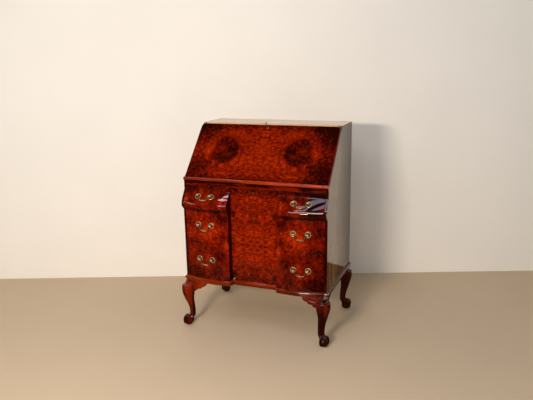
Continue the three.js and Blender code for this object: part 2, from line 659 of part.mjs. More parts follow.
// Drawer: shaped front, box behind it, lock, and two handles
function makeDrawer(drawer) {
  const name = DRAWER_NAMES[drawer];
  const { top, bottom } = DRAWER_LEVELS[drawer];
  const end = OPENING_HALF - DRAWER_SEAM / 2;
  const [low, high] = [bottom + DRAWER_SEAM / 2, top - DRAWER_SEAM / 2];
  const stations = planStations(end);
  const plain = (z) => stations.map((x) => [x, -blockDepth(x), z]);
  const bulge = [...BULGE_SHARES].reverse().map((row) =>
    stations.map((x) => [x, -bulgeOut(blockDepth(x), row), bulgeZ(row[0])]));
  const flat = stations.map((x) => [x, 0, high]);
  const rows = drawer === 0 ? [plain(low), ...bulge.slice(1), flat] : [plain(low), plain(high)];

  const keyZ = top - KEYHOLE_DROP;
  const tube = (radius, y0, y1) => rod('y', radius, y0, y1).translate(0, 0, keyZ);
  const cuts = [tube(KEY_TUBE_RADIUS + CLEARANCE, -OVERRUN, FRONT_THICKNESS + OVERRUN)];
  for (const [, sign] of SIDES) {
    const frame = handleFrame(drawer, sign);
    for (const post of [-POST_SPACING / 2, POST_SPACING / 2]) {
      const reach = BLOCK_DEPTH_OUTER + SEAT_DEPTH;
      const seat = rod('y', cutRadius(ROSE_RADIUS), -CLEARANCE, reach, CUT_SIDES);
      const hole = rod('y', BOLT_RADIUS + 2 * CLEARANCE, -BOLT_LENGTH - CLEARANCE, OVERRUN, BAIL_SIDES);
      cuts.push(...[seat, hole].map((cut) => cut.translate(post, 0, 0).applyMatrix4(frame.matrix)));
    }
  }
  place(`drawer_front_${name}`, without(toSolid(relief(rows, FRONT_THICKNESS)), cuts), burr);

  const railHalf = RAIL_THICKNESS / 2;
  const boxFloor = drawer === DRAWER_LEVELS.length - 1
    ? CASE_FLOOR + FLOOR_THICKNESS + 2 * CLEARANCE : bottom + railHalf + CLEARANCE;
  const ceiling = drawer === 0 ? FRIEZE_REAR_FLOOR : top - railHalf;
  const boxTop = boxFloor + (ceiling - boxFloor) * BOX_HEIGHT_SHARE;
  const half = INNER_HALF - SLIDE_CLEARANCE;
  const [front, rear] = [RAIL_FRONT, RAIL_FRONT + BOX_DEPTH];
  const walls = polygon([
    [-half, front], [-half + BOX_WALL, front], [-half + BOX_WALL, rear - BOX_WALL],
    [half - BOX_WALL, rear - BOX_WALL], [half - BOX_WALL, front], [half, front],
    [half, rear], [-half, rear],
  ]);
  place(`drawer_box_${name}`, joined([
    prismZ(walls, boxFloor, boxTop),
    box(-half, half, front, rear, boxFloor, boxFloor + BOX_FLOOR),
  ]), inner);

  const lock = joined([
    box(-LOCK_WIDTH / 2, LOCK_WIDTH / 2, RAIL_FRONT, RAIL_FRONT + LOCK_DEPTH,
      keyZ + LOCK_ABOVE_KEY - LOCK_HEIGHT, keyZ + LOCK_ABOVE_KEY),
    tube(KEY_TUBE_RADIUS, -CLEARANCE, RAIL_FRONT + LOCK_DEPTH / 2),
  ]);
  place(`drawer_lock_${name}`, without(lock,
    [tube(KEY_BORE, -OVERRUN, FRONT_THICKNESS)]), brass);

  for (const [word, sign] of SIDES) {
    const frame = handleFrame(drawer, sign);
    bureau.add(frame);
    place(`rose_${name}_${word}_inner`, roseSolid(), brass, frame).position.x = -sign * POST_SPACING / 2;
    place(`rose_${name}_${word}_outer`, roseSolid(), brass, frame).position.x = sign * POST_SPACING / 2;
    place(`bail_${name}_${word}`, bailSolid(drawer === 0 ? BAIL_LEAN_DEG : 0), brass, frame);
  }
}

// The fall's own frame: local x across, local y up the slope, local z out of its face
const FALL_FRAME = new THREE.Matrix4().makeRotationX(SLOPE).setPosition(0, FALL_FOOT.y, FALL_FOOT.z);
const PIVOT_IN_FALL = new THREE.Vector3(0, PIVOT.y, PIVOT.z).applyMatrix4(FALL_FRAME.clone().invert());
const KEY_PLACE = FALL_LENGTH - FALL_KEY_DROP;
const BOLT_PLACE = KEY_PLACE - LOCK_BOLT_BELOW_KEY;

// Thumb moulding round the fall: shares of its depth below the field, and of its width
const FALL_EDGE_SHARES = [[1, 0], [0.62, 0.06], [0.36, 0.3], [0.2, 0.72], [0.18, 1]];
function fallOutline(inset, level) {
  const half = HALF - inset;
  const top = FALL_LENGTH - inset;
  const radius = FALL_CORNER - inset;
  const corner = (sign) => Array.from({ length: ROUND_SIDES / 2 + 1 }, (_, i) => {
    const angle = (i / (ROUND_SIDES / 2)) * Math.PI / 2;
    return [
      sign * (half - radius + radius * Math.cos(angle)), top - radius + radius * Math.sin(angle), level,
    ];
  });
  return [[-half, 0, level], [half, 0, level], ...corner(1), ...corner(-1).reverse()];
}

function makeFall() {
  const fall = new THREE.Group();
  fall.applyMatrix4(FALL_FRAME);
  bureau.add(fall);
  const mouldDepth = FALL_MOULD_DEPTH + FALL_FIELD_RISE;
  const rings = [fallOutline(0, -FALL_THICKNESS),
    ...FALL_EDGE_SHARES.map(([down, across]) => fallOutline(FALL_MOULD_WIDTH * across, -mouldDepth * down)),
    fallOutline(FALL_MOULD_WIDTH, 0)];
  const inside = -FALL_THICKNESS;
  const armX = INNER_HALF - ARM_SIDE_GAP;
  const leafFloor = inside + ARM_LEAF_THICKNESS + CLEARANCE;
  const cuts = [-1, 1].flatMap((sign) => {
    const span = (x0, x1) => [Math.min(sign * x0, sign * x1), Math.max(sign * x0, sign * x1)];
    const [slot0, slot1] = span(armX - ARM_THICKNESS - CLEARANCE, armX + CLEARANCE);
    const [leaf0, leaf1] = span(armX - ARM_LEAF_WIDTH - CLEARANCE, armX + CLEARANCE);
    return [
      box(slot0, slot1, -OVERRUN, ARM_TONGUE + CLEARANCE,
        inside - OVERRUN, PIVOT_IN_FALL.z + ARM_EYE_RADIUS),
      box(leaf0, leaf1, -OVERRUN, ARM_LEAF_LENGTH + CLEARANCE, inside - OVERRUN, leafFloor),
    ];
  });
  const lockTop = KEY_PLACE + LOCK_ABOVE_KEY + LOCK_BOLT_HEIGHT;
  const lockFloor = inside + LOCK_DEPTH;
  cuts.push(
    box(-LOCK_WIDTH / 2 - CLEARANCE, LOCK_WIDTH / 2 + CLEARANCE, lockTop - LOCK_HEIGHT - CLEARANCE,
      lockTop + CLEARANCE, inside - OVERRUN, lockFloor + CLEARANCE),
    rod('z', KEY_TUBE_RADIUS + CLEARANCE, inside, OVERRUN).translate(0, KEY_PLACE, 0));
  place('fall', without(toSolid(loft(rings)), cuts), burr, fall);

  const keyBore = (radius, from, to) => rod('z', radius, from, to).translate(0, KEY_PLACE, 0);
  const boltHole = box(-LOCK_BOLT_WIDTH / 2 - CLEARANCE, LOCK_BOLT_WIDTH / 2 + CLEARANCE,
    BOLT_PLACE - LOCK_BOLT_HEIGHT / 2 - CLEARANCE, BOLT_PLACE + LOCK_BOLT_HEIGHT / 2 + CLEARANCE,
    inside - OVERRUN, lockFloor - ARM_LEAF_THICKNESS);
  place('fall_lock', without(joined([
    box(-LOCK_WIDTH / 2, LOCK_WIDTH / 2, lockTop - LOCK_HEIGHT, lockTop, inside, lockFloor),
    keyBore(KEY_TUBE_RADIUS, inside, CLEARANCE),
  ]), [keyBore(KEY_BORE, inside + ARM_LEAF_THICKNESS, OVERRUN), boltHole]), brass, fall);
  place('lock_bolt', toSolid(box(-LOCK_BOLT_WIDTH / 2, LOCK_BOLT_WIDTH / 2,
    BOLT_PLACE - LOCK_BOLT_HEIGHT / 2, BOLT_PLACE + LOCK_BOLT_HEIGHT / 2,
    inside, lockFloor - ARM_LEAF_THICKNESS - CLEARANCE)), steel, fall);

  const bow = new THREE.TorusGeometry(KEY_BOW_RADIUS - KEY_BOW_WIRE, KEY_BOW_WIRE, BAIL_SIDES, CUT_SIDES);
  bow.rotateY(Math.PI / 2).translate(0, KEY_PLACE, KEY_REACH + KEY_BOW_RADIUS - KEY_BOW_WIRE);
  place('key', joined([
    keyBore(KEY_SHANK_RADIUS, inside + ARM_LEAF_THICKNESS + CLEARANCE, KEY_REACH),
    keyBore(KEY_SHANK_RADIUS + KEY_BOW_WIRE / 2, KEY_REACH - 2 * KEY_BOW_WIRE, KEY_REACH - KEY_BOW_WIRE),
    bow,
  ]), steel, fall);

  for (const [word, sign] of SIDES) makeHingeArm(word, sign, armX, fall);
}

// Hinge arm: leaf let into the inner face, cheek down to the pivot, and a pin through its eye
const ARM_TONGUE = 12;
function makeHingeArm(word, sign, armX, fall) {
  const inside = -FALL_THICKNESS;
  const { y: eyeY, z: eyeZ } = PIVOT_IN_FALL;
  const outline = new THREE.Shape();
  outline.moveTo(ARM_TONGUE, inside);
  outline.lineTo(ARM_TONGUE, eyeZ);
  outline.lineTo(0, eyeZ + ARM_EYE_RADIUS / 2);
  outline.lineTo(eyeY, eyeZ + ARM_EYE_RADIUS);
  outline.absarc(eyeY, eyeZ, ARM_EYE_RADIUS, Math.PI / 2, Math.PI * 3 / 2, false);
  outline.lineTo(0, inside);
  const cheek = prismX(outline, armX - ARM_THICKNESS, armX);
  const leaf = box(armX - ARM_LEAF_WIDTH, armX, CLEARANCE, ARM_LEAF_LENGTH,
    inside, inside + ARM_LEAF_THICKNESS);
  const pin = rod('x', ARM_PIN_RADIUS, armX - ARM_THICKNESS - ARM_PIN_REACH, armX + ARM_PIN_REACH);
  const arm = place(`fall_hinge_${word}`, joined([cheek, leaf, pin.translate(0, eyeY, eyeZ)]), brass, fall);
  if (sign < 0) mirrorX(arm);
}

// Base moulding, a torus over a small fillet: shares of its height from the top, and of its projection
const MOULDING_SHARES = [
  [1, 0.42], [0.77, 0.42], [0.74, 0.24], [0.64, 0.26], [0.56, 0.62], [0.43, 0.93], [0.3, 1], [0.14, 0.86],
  [0.05, 0.52], [0, 0.2],
];
const mouldingRows = MOULDING_SHARES.map(([down, out]) => ({
  z: CASE_FLOOR - MOULDING_HEIGHT * down,
  out: MOULDING_PROJECTION * out,
}));
function makeBase() {
  const joint = MOULDING_RETURN;
  const stations = planStations(OPENING_HALF);
  const front = loft(mouldingRows.map(({ z, out }) => [
    [-HALF - out, joint, z], [-HALF - out, -BLOCK_DEPTH_OUTER - out, z],
    ...stations.map((x) => {
      const step = Math.abs(x) > BLOCK_INNER ? 0 : -Math.sign(x) * out;
      return [x + step, -blockDepth(x) - out, z];
    }),
    [HALF + out, -BLOCK_DEPTH_OUTER - out, z], [HALF + out, joint, z],
  ]));
  place('base_moulding_front', toSolid(front), moulded);
  for (const [word, sign] of SIDES) {
    const side = loft(mouldingRows.map(({ z, out }) => [
      [HALF - MOULDING_WIDTH, joint + CLEARANCE, z], [HALF + out, joint + CLEARANCE, z],
      [HALF + out, CASE_DEPTH, z], [HALF - MOULDING_WIDTH, CASE_DEPTH, z],
    ]));
    const mesh = place(`base_moulding_${word}`, toSolid(side), moulded);
    if (sign < 0) mirrorX(mesh);
  }
  const end = HALF - MOULDING_WIDTH - CLEARANCE;
  place('base_rail_back', toSolid(box(-end, end, CASE_DEPTH - MOULDING_WIDTH, CASE_DEPTH,
    LEG_HEIGHT, CASE_FLOOR)), inner);
}

// Cabriole leg: shares of the leg's height, its swing, the knee's radius, and the width across
const LEG_SHARES = [
  [0.154, 0.7, 0.58, 0.95], [0.184, 0.34, 0.54, 0.92], [0.218, 0.08, 0.5, 0.9], [0.274, 0, 0.475, 0.88],
  [0.346, 0.05, 0.49, 0.88], [0.427, 0.16, 0.53, 0.88], [0.517, 0.38, 0.61, 0.93], [0.628, 0.62, 0.74, 1],
  [0.731, 0.7, 0.9, 1.06], [0.812, 0.73, 0.97, 1.1], [0.885, 0.66, 0.98, 1.1], [0.919, 0.58, 0.95, 1.06],
  [0.932, 0.46, 0.84, 1], [0.938, 0.36, 0.7, 1], [0.9985, 0.33, 0.68, 1],
];
const LEG_TOP_SHARE = LEG_SHARES[LEG_SHARES.length - 1][0];
const SQUARENESS = 2.5;
const SQUARE_FROM_SHARE = 0.5;

// Claws: shares of the ball's radius for the toe's reach, its height, and its own radius
const TOE_SHARES = [
  [0.35, 2.1, 0.3], [0.76, 1.88, 0.33], [0.99, 1.42, 0.28], [1.03, 0.92, 0.25], [0.92, 0.38, 0.13],
];
const TOE_ANGLES_DEG = [0, 78, -78, 180];
const TOE_SIDES = 5;

// Ear: shares of its length and of its drop, along the lower edge from the leg to the tip
const EAR_SHARES = [
  [0, 1.5], [0.09, 1.36], [0.19, 1], [0.275, 0.84], [0.39, 0.88], [0.49, 0.72], [0.567, 0.58],
  [0.676, 0.58], [0.74, 0.36], [0.87, 0.3], [1, 0.04],
];
const EAR_ROUND_SHARES = [[-0.5, 0.94], [0, 1], [0.5, 0.94]];
function earSolid() {
  const top = LEG_HEIGHT * LEG_TOP_SHARE;
  const rings = EAR_ROUND_SHARES.map(([across, drop]) => [
    [0, across * EAR_THICKNESS, top - EAR_BAND],
    ...EAR_SHARES.map(([along, down]) =>
      [along * EAR_LENGTH, across * EAR_THICKNESS, top - EAR_BAND - drop * down * (EAR_DROP - EAR_BAND)]),
    [EAR_LENGTH, across * EAR_THICKNESS, top - EAR_BAND],
  ]);
  const band = box(0, EAR_LENGTH - EAR_THICKNESS / 3, -EAR_THICKNESS / 3, EAR_THICKNESS / 3,
    top - EAR_BAND - CLEARANCE, top);
  return joined([loft(rings, 0, 2), band]);
}

function legSolid() {
  const diagonal = Math.SQRT1_2;
  const ankle = -FOOT_SWING * diagonal;
  const rings = LEG_SHARES.map(([height, swing, radius, across]) => {
    const centre = ankle + FOOT_SWING * swing * diagonal;
    return Array.from({ length: LEG_SIDES }, (_, i) => {
      const angle = (i / LEG_SIDES) * Math.PI * 2 + Math.PI / 4;
      const squared = height < SQUARE_FROM_SHARE ? 2 : SQUARENESS;
      const [c, s] = [Math.cos(angle), Math.sin(angle)];
      const spread = (Math.abs(c) ** squared + Math.abs(s) ** squared) ** (1 / squared);
      const reach = radius * KNEE_RADIUS / spread;
      const wider = (across - 1) * (c + s) / 2;
      return [centre + reach * (c + wider), -centre + reach * (s + wider), height * LEG_HEIGHT];
    });
  });
  const ball = new THREE.SphereGeometry(BALL_RADIUS, BALL_SIDES, BALL_RINGS).rotateX(Math.PI / 2);
  ball.translate(0, 0, BALL_RADIUS - FLAT_UNDER_BALL);
  const toes = TOE_ANGLES_DEG.map((degrees) => {
    const turn = THREE.MathUtils.degToRad(degrees) - Math.PI / 4;
    const path = TOE_SHARES.map(([out, up]) =>
      [Math.cos(turn) * out * BALL_RADIUS, Math.sin(turn) * out * BALL_RADIUS, up * BALL_RADIUS]);
    const sideways = new THREE.Vector3(-Math.sin(turn), Math.cos(turn), 0);
    return bar(path, TOE_SHARES.map(([, , radius]) => radius * BALL_RADIUS), TOE_SIDES, sideways);
  });
  const kneeX = ankle + FOOT_SWING * EAR_SWING_SHARE * diagonal;
  const earFront = toGeometry(earSolid()).rotateZ(Math.PI).translate(kneeX, -kneeX, 0);
  const earSide = toGeometry(earSolid()).scale(SIDE_EAR_SHARE, 1, 1).rotateZ(Math.PI / 2);
  earSide.translate(kneeX, -kneeX, 0);
  const floorCut = box(-HALF, HALF, -HALF, HALF, -HALF, 0);
  return without(joined([loft(rings), ball, ...toes, earFront, earSide]), [floorCut]);
}

function makeLegs() {
  for (const [depthWord, y] of [['front', FOOT_Y], ['back', BACK_FOOT_Y]]) {
    for (const [word, sign] of SIDES) {
      const leg = place(`leg_${depthWord}_${word}`, legSolid(), moulded);
      leg.position.set(sign * FOOT_X, y, 0);
      if (sign < 0) mirrorX(leg);
      if (depthWord === 'back') {
        leg.geometry.scale(1, -1, 1);
        turnFaces(leg.geometry);
      }
    }
  }
}
function turnFaces(geometry) {
  const { index } = geometry;
  for (let i = 0; i < index.count; i += 3) {
    const second = index.getX(i + 1);
    index.setX(i + 1, index.getX(i + 2));
    index.setX(i + 2, second);
  }
  geometry.computeVertexNormals();
}

// Pigeonholes over two small drawers, drawn in x and z and cut from the front
const UNIT_FLOOR = WRITING_LEVEL + CLEARANCE;
const UNIT_FRONT = seatY(UNDER_TOP) + FALL_RAIL_DEPTH + UNIT_SETBACK;
const UNIT_HALF = INNER_HALF - 2 * CLEARANCE;
const COLUMN = (2 * UNIT_HALF - UNIT_WALL) / UNIT_COLUMNS;
const KNOB_SHARES = [[1, 2 / 3], [0.8, 0.95], [0, 1]];
const BAY_FLOOR = UNIT_FLOOR + UNIT_WALL;
const BAY_TOP = BAY_FLOOR + UNIT_BAY_HEIGHT;
function makePigeonholes() {
  const columnX = (i) => -UNIT_HALF + UNIT_WALL + COLUMN * i;
  const ceiling = UNDER_TOP - UNIT_WALL;
  const rear = BACK_FACE - CLEARANCE;
  const cut = (shape) => prismY(shape, UNIT_FRONT - OVERRUN, rear - UNIT_BACK, { curveSegments: 3 });
  const cuts = [];
  for (let i = 0; i < UNIT_COLUMNS; i += 1) {
    const [x0, x1] = [columnX(i), columnX(i + 1) - UNIT_WALL];
    const hole = new THREE.Shape();
    hole.moveTo(x0, BAY_TOP + UNIT_WALL);
    hole.lineTo(x1, BAY_TOP + UNIT_WALL);
    hole.lineTo(x1, ceiling - UNIT_ARCH_RISE);
    hole.quadraticCurveTo(x1 - COLUMN / 4, ceiling - UNIT_ARCH_RISE / 3, (x0 + x1) / 2, ceiling);
    hole.quadraticCurveTo(x0 + COLUMN / 4, ceiling - UNIT_ARCH_RISE / 3, x0, ceiling - UNIT_ARCH_RISE);
    cuts.push(cut(hole));
  }
  const step = UNIT_COLUMNS / 3;
  for (let bay = 0; bay < 3; bay += 1) {
    const [x0, x1] = [columnX(bay * step), columnX((bay + 1) * step) - UNIT_WALL];
    cuts.push(cut(polygon([[x0, BAY_FLOOR], [x1, BAY_FLOOR], [x1, BAY_TOP], [x0, BAY_TOP]])));
  }
  const block = box(-UNIT_HALF, UNIT_HALF, UNIT_FRONT, rear, UNIT_FLOOR, UNDER_TOP - CLEARANCE);
  place('pigeonholes', without(toSolid(block), cuts), inner);

  for (const [word, sign] of SIDES) {
    const outer = UNIT_HALF - UNIT_WALL - SLIDE_CLEARANCE;
    const innerX = outer - COLUMN * step + UNIT_WALL + 2 * SLIDE_CLEARANCE;
    const [x0, x1] = sign > 0 ? [innerX, outer] : [-outer, -innerX];
    const [z0, z1] = [BAY_FLOOR + CLEARANCE, BAY_TOP - SLIDE_CLEARANCE];
    const trayRear = BACK_FACE - 2 * UNIT_WALL;
    const wall = UNIT_DRAWER_WALL;
    const tray = toSolid(box(x0, x1, UNIT_FRONT, trayRear, z0, z1));
    const hollow = box(x0 + wall, x1 - wall, UNIT_FRONT + 2 * wall, trayRear - wall,
      z0 + wall, z1 + OVERRUN);
    const middle = (x0 + x1) / 2;
    const knobHole = rod('y', BOLT_RADIUS + CLEARANCE, -OVERRUN, wall + CLEARANCE)
      .translate(middle, UNIT_FRONT, (z0 + z1) / 2);
    place(`small_drawer_${word}`, without(tray, [hollow, knobHole]), moulded);
    const rounded = KNOB_SHARES.map(([radius, reach]) => [KNOB_RADIUS * radius, KNOB_REACH * reach]);
    const knob = turned([[0, -wall], [BOLT_RADIUS, -wall], [BOLT_RADIUS, KNOB_REACH / 3], ...rounded]);
    const seated = knob.rotateX(Math.PI).translate(middle, UNIT_FRONT, (z0 + z1) / 2);
    place(`small_knob_${word}`, toSolid(seated), brass);
  }
}

for (const [word, sign] of SIDES) makeSide(`side_${word}`, sign);
makeTop();
makeFallRail();
makeBack();
makeWritingLevel();
makeFrieze();
makeLopers();
makeDrawerBoards();
DRAWER_NAMES.forEach((_, drawer) => makeDrawer(drawer));
makeFall();
makeBase();
makeLegs();
makePigeonholes();

// The origin goes midway between the front and the back feet
bureau.position.y = -(FOOT_Y + BACK_FOOT_Y) / 2;

export default bureau;
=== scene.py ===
"""The looks of a slant-front writing bureau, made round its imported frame."""
import math

import bmesh
import bpy
import numpy as np
from mathutils import Matrix, Vector


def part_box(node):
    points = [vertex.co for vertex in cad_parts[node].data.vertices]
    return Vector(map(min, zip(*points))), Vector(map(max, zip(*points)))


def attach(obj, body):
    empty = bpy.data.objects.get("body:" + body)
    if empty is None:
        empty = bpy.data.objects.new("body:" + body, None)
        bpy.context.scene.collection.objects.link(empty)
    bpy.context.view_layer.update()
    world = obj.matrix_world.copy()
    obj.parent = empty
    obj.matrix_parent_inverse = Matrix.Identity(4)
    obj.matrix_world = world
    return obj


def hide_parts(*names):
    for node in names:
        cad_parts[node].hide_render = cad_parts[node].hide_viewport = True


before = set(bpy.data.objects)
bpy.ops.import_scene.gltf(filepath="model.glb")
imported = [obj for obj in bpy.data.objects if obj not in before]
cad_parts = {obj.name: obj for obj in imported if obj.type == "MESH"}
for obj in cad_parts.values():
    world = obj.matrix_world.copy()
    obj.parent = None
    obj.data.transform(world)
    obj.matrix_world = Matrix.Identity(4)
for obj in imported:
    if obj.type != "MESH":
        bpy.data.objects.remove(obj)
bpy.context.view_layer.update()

bl_info = {
    "name": "Writing bureau",
    "version": (1, 0, 0),
    "blender": (4, 5, 0),
    "location": "3D View > Sidebar > Bureau",
    "description": "Shaped, carved and polished pieces of a slant-front bureau, made round its frame",
    "category": "Object",
}

# Finishes by name
FINISHES = {}
SIDES = (("left", -1), ("right", 1))

# Gaps and thicknesses of the boards, in metres
CLEARANCE = 0.0003
SEAM = 0.0016
SIDE_THICKNESS = 0.020
SIDE_LIP = 0.012
FRONT_THICKNESS = 0.022
BACK_THICKNESS = 0.008
TOP_THICKNESS = 0.018
TOP_LAP = 0.003
NOSING_HEIGHT = 0.015
NOSING_OUT = 0.008
FRIEZE_HEIGHT = 0.0227
LAP_OVER = 0.0005

# Places read from the frame
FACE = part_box("frieze_rail")[0].y
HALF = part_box("side_right")[1].x
CASE_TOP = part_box("top_board")[1].z
CASE_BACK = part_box("back_panel")[1].y
CASE_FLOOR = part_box("base_moulding_front")[1].z
LEG_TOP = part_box("base_moulding_front")[0].z
DRAWER_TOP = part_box("frieze_rail")[1].z - FRIEZE_HEIGHT
WRITING_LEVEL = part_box("writing_board")[1].z
INNER_HALF = HALF - SIDE_THICKNESS
OPENING_HALF = HALF - SIDE_LIP
FRONT_BOXES = {name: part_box("drawer_front_" + name) for name in ("upper", "middle", "lower")}
LEVELS = {name: (low.z - SEAM / 2, high.z + SEAM / 2) for name, (low, high) in FRONT_BOXES.items()}

# A lock's keyhole below the top of its front, the tube round it, and the easing of the top and the lopers
KEY_DOWN = 0.021
TUBE_RADIUS = 0.005
TOP_ARRIS = 0.0012

# The fall's own frame: across, up the slope, and out of its face
SLOPE = math.radians(48)
FALL_FOOT = Vector((0, FACE + 0.002986, 0.762225))
FALL_LENGTH = (CASE_TOP - FALL_FOOT.z) / math.sin(SLOPE)
FALL_FRAME = Matrix.Translation(FALL_FOOT) @ Matrix.Rotation(SLOPE, 4, "X")
PIVOT = Vector((0, FACE + 0.0014, 0.7506))
ARM_FACE = INNER_HALF - 0.0006
LOCK_HALF, LOCK_LOW, LOCK_HIGH = 0.023, 0.27596, 0.30796
KEY_UP = 0.29796


def a_length(name, description, default):
    return bpy.props.FloatProperty(name=name, description=description, default=default, unit="LENGTH")


def a_power(name, description, default):
    return bpy.props.FloatProperty(name=name, description=description, default=default, unit="POWER")


def a_colour(name, description, default):
    return bpy.props.FloatVectorProperty(
        name=name, description=description, default=default, subtype="COLOR", size=3, min=0, max=1)


class BureauSizes(bpy.types.PropertyGroup):
    """Sizes of the case, its fronts and its mouldings"""

    arris: a_length("Arris", "Radius worn on the edges of boards and fronts", 0.0009)
    block_inner: a_length("Block from middle", "Distance from the middle to a block's inner edge", 0.120)
    block_return: a_length("Block return", "Width that the block's inner face takes", 0.0035)
    block_depth_inner: a_length("Inner block depth", "How far a block stands out at its inner edge", 0.028)
    block_depth_outer: a_length("Outer block depth", "How far a block stands out beside the case", 0.015)
    block_bow: a_length("Bow", "Rise of the block's bowed face over its chord", 0.013)
    bulge_nose: a_length("Bulge", "Projection of the top drawer's ogee over the blocks", 0.021)
    screw_radius: a_length("Screw head", "Radius of the slotted heads", 0.0024)
    moulding_projection: a_length("Base moulding", "Projection of the torus under the drawers", 0.0085)
    nose_radius: a_length("Nosing radius", "Radius of the round below the fall", 0.0094)
    fall_thickness: a_length("Fall thickness", "Thickness of the sloping fall", 0.016)
    rim_width: a_length("Rim width", "Width of the moulded rim on three edges of the fall", 0.005)
    rim_depth: a_length("Rim depth", "Depth of that rim below the fall's face", 0.011)
    field_rise: a_length("Field rise", "Step of the fall's face over its rim", 0.002)
    fall_corner: a_length("Fall corner", "Radius of the fall's upper corners", 0.022)


class BureauHandles(bpy.types.PropertyGroup):
    """Sizes of the swan-neck handles"""

    post_spacing: a_length("Post spacing", "Distance between a handle's two posts", 0.070)
    rose_radius: a_length("Rose radius", "Radius of the turned plate under each post", 0.0145)
    eye_height: a_length("Eye height", "Distance from the seat to the hole for the bail", 0.0125)
    wire: a_length("Bail radius", "Radius of the bail's pins", 0.002)
    drop: a_length("Bail drop", "Distance that the bail hangs below its pins", 0.026)


class BureauLegs(bpy.types.PropertyGroup):
    """Sizes of the cabriole legs"""

    knee: a_length("Knee radius", "Half width of the knee", 0.031)
    ball: a_length("Ball radius", "Radius of the ball under the claws", 0.022)
    swing: a_length("Swing", "How far the ankle lies behind the ball and the knee", 0.024)
    ear_length: a_length("Ear length", "Length of the shaped piece beside the knee", 0.098)
    ear_drop: a_length("Ear drop", "Height of the ear where it meets the knee", 0.052)
    grain: a_length("Carving step", "Finest step of the carved surface", 0.0012)


class BureauFinishes(bpy.types.PropertyGroup):
    """Colours of the veneers, mouldings and brass"""

    burr_dark: a_colour("Burr, dark", "Darkest tone of the burr veneer", (0.014, 0.0011, 0.0004))
    burr_red: a_colour("Burr, middle", "Middle tone of the burr veneer", (0.165, 0.0066, 0.0006))
    burr_bright: a_colour("Burr, bright", "Brightest tone of the burr veneer", (0.50, 0.034, 0.002))
    straight_dark: a_colour("Mouldings, dark", "Dark streaks of the legs and mouldings", (0.06, 0.004, 0.0008))
    straight_bright: a_colour("Mouldings, bright", "Ground of the legs and mouldings", (0.42, 0.030, 0.003))
    side_dark: a_colour("Sides, dark", "Dark streaks of the side veneer", (0.11, 0.052, 0.022))
    side_bright: a_colour("Sides, bright", "Ground colour of the side veneer", (0.34, 0.185, 0.085))
    inner_wood: a_colour("Inner wood", "Ground colour of the unpolished inner wood", (0.36, 0.20, 0.10))
    leather: a_colour("Leather", "Leather lining of the fall", (0.045, 0.016, 0.009))
    brass: a_colour("Brass", "Rubbed brass", (0.88, 0.76, 0.40))
    # Dark end of the brass: random toning reaches it, and so does the painted shade in the hollows.
    brass_dark: a_colour("Brass, toned", "Brass darkened in its hollows", (0.22, 0.15, 0.06))
    steel: a_colour("Steel", "Key and bolt", (0.20, 0.185, 0.16))


class BureauStage(bpy.types.PropertyGroup):
    """Lamps, floor and wall"""

    key_power: a_power("Main lamp", "Power of the lamp in front of the bureau", 62)
    strip_power: a_power("Ceiling lamp", "Power of the long lamp over the front", 9)
    near_power: a_power("Small lamp", "Power of the small lamp over the left drawers", 0.38)
    window_power: a_power("Window", "Power of the long lamp behind the viewer", 18)
    ambient: bpy.props.FloatProperty(
        name="Room light", description="Level of the light from all sides", default=0.33, min=0, max=1)
    floor: a_colour("Floor", "Colour of the pale floor", (0.60, 0.47, 0.33))
    floor_mirrored: a_colour("Floor in the polish", "Deeper tone that wood mirrors", (0.12, 0.04, 0.009))
    wall: a_colour("Wall", "Colour of the pale wall", (0.95, 0.90, 0.83))


def sizes():
    return bpy.context.scene.bureau_sizes


def handles():
    return bpy.context.scene.bureau_handles


def legs():
    return bpy.context.scene.bureau_legs


def finishes():
    return bpy.context.scene.bureau_finishes


# Curves and shells

def smooth_through(xs, ys, at):
    """A curve through points that never swings past them."""
    xs, ys, at = (np.asarray(v, float) for v in (xs, ys, at))
    step = np.diff(xs)
    rise = np.diff(ys) / step
    slope = np.zeros_like(ys)
    slope[0], slope[-1] = rise[0], rise[-1]
    for i in range(1, len(xs) - 1):
        if rise[i - 1] * rise[i] > 0:
            w1, w2 = 2 * step[i] + step[i - 1], step[i] + 2 * step[i - 1]
            slope[i] = (w1 + w2) / (w1 / rise[i - 1] + w2 / rise[i])
    k = np.clip(np.searchsorted(xs, at, side="right") - 1, 0, len(step) - 1)
    t = np.clip((at - xs[k]) / step[k], 0, 1)
    return (
        (1 + 2 * t) * (1 - t) ** 2 * ys[k] + t * (1 - t) ** 2 * step[k] * slope[k]
        + t * t * (3 - 2 * t) * ys[k + 1] + t * t * (t - 1) * step[k] * slope[k + 1]
    )


def spaced(start, stop, step):
    return np.linspace(start, stop, max(2, int(round(abs(stop - start) / step)) + 1))


def once_round(steps):
    """Angles of a full turn."""
    return np.linspace(0, 2 * math.pi, steps, endpoint=False)


def loft(rings, caps=True):
    """A skin through rings of as many points each."""
    rings = np.asarray(rings, float)
    count, size = rings.shape[:2]
    faces = [
        (r * size + i, r * size + (i + 1) % size, (r + 1) * size + (i + 1) % size, (r + 1) * size + i)
        for r in range(count - 1) for i in range(size)
    ]
    if caps:
        faces.append(tuple(reversed(range(size))))
        faces.append(tuple(range((count - 1) * size, count * size)))
    return rings.reshape(-1, 3), faces


def drawn_across(outline, x0, x1):
    """An outline in y and z, drawn out along x."""
    return loft([[(x, y, z) for y, z in outline] for x in (x0, x1)])


def drawn_back(outline, y0, y1):
    """An outline in x and z, drawn out along y."""
    return loft([[(x, y, z) for x, z in outline] for y in (y0, y1)])


def block(x0, x1, y0, y1, z0, z1):
    return drawn_across([(y0, z0), (y1, z0), (y1, z1), (y0, z1)], x0, x1)


def round_hole(z, radius, y0, y1, steps=24):
    """A round bar from front to back in the middle of the case."""
    return drawn_back([(radius * math.cos(a), z + radius * math.sin(a)) for a in once_round(steps)], y0, y1)


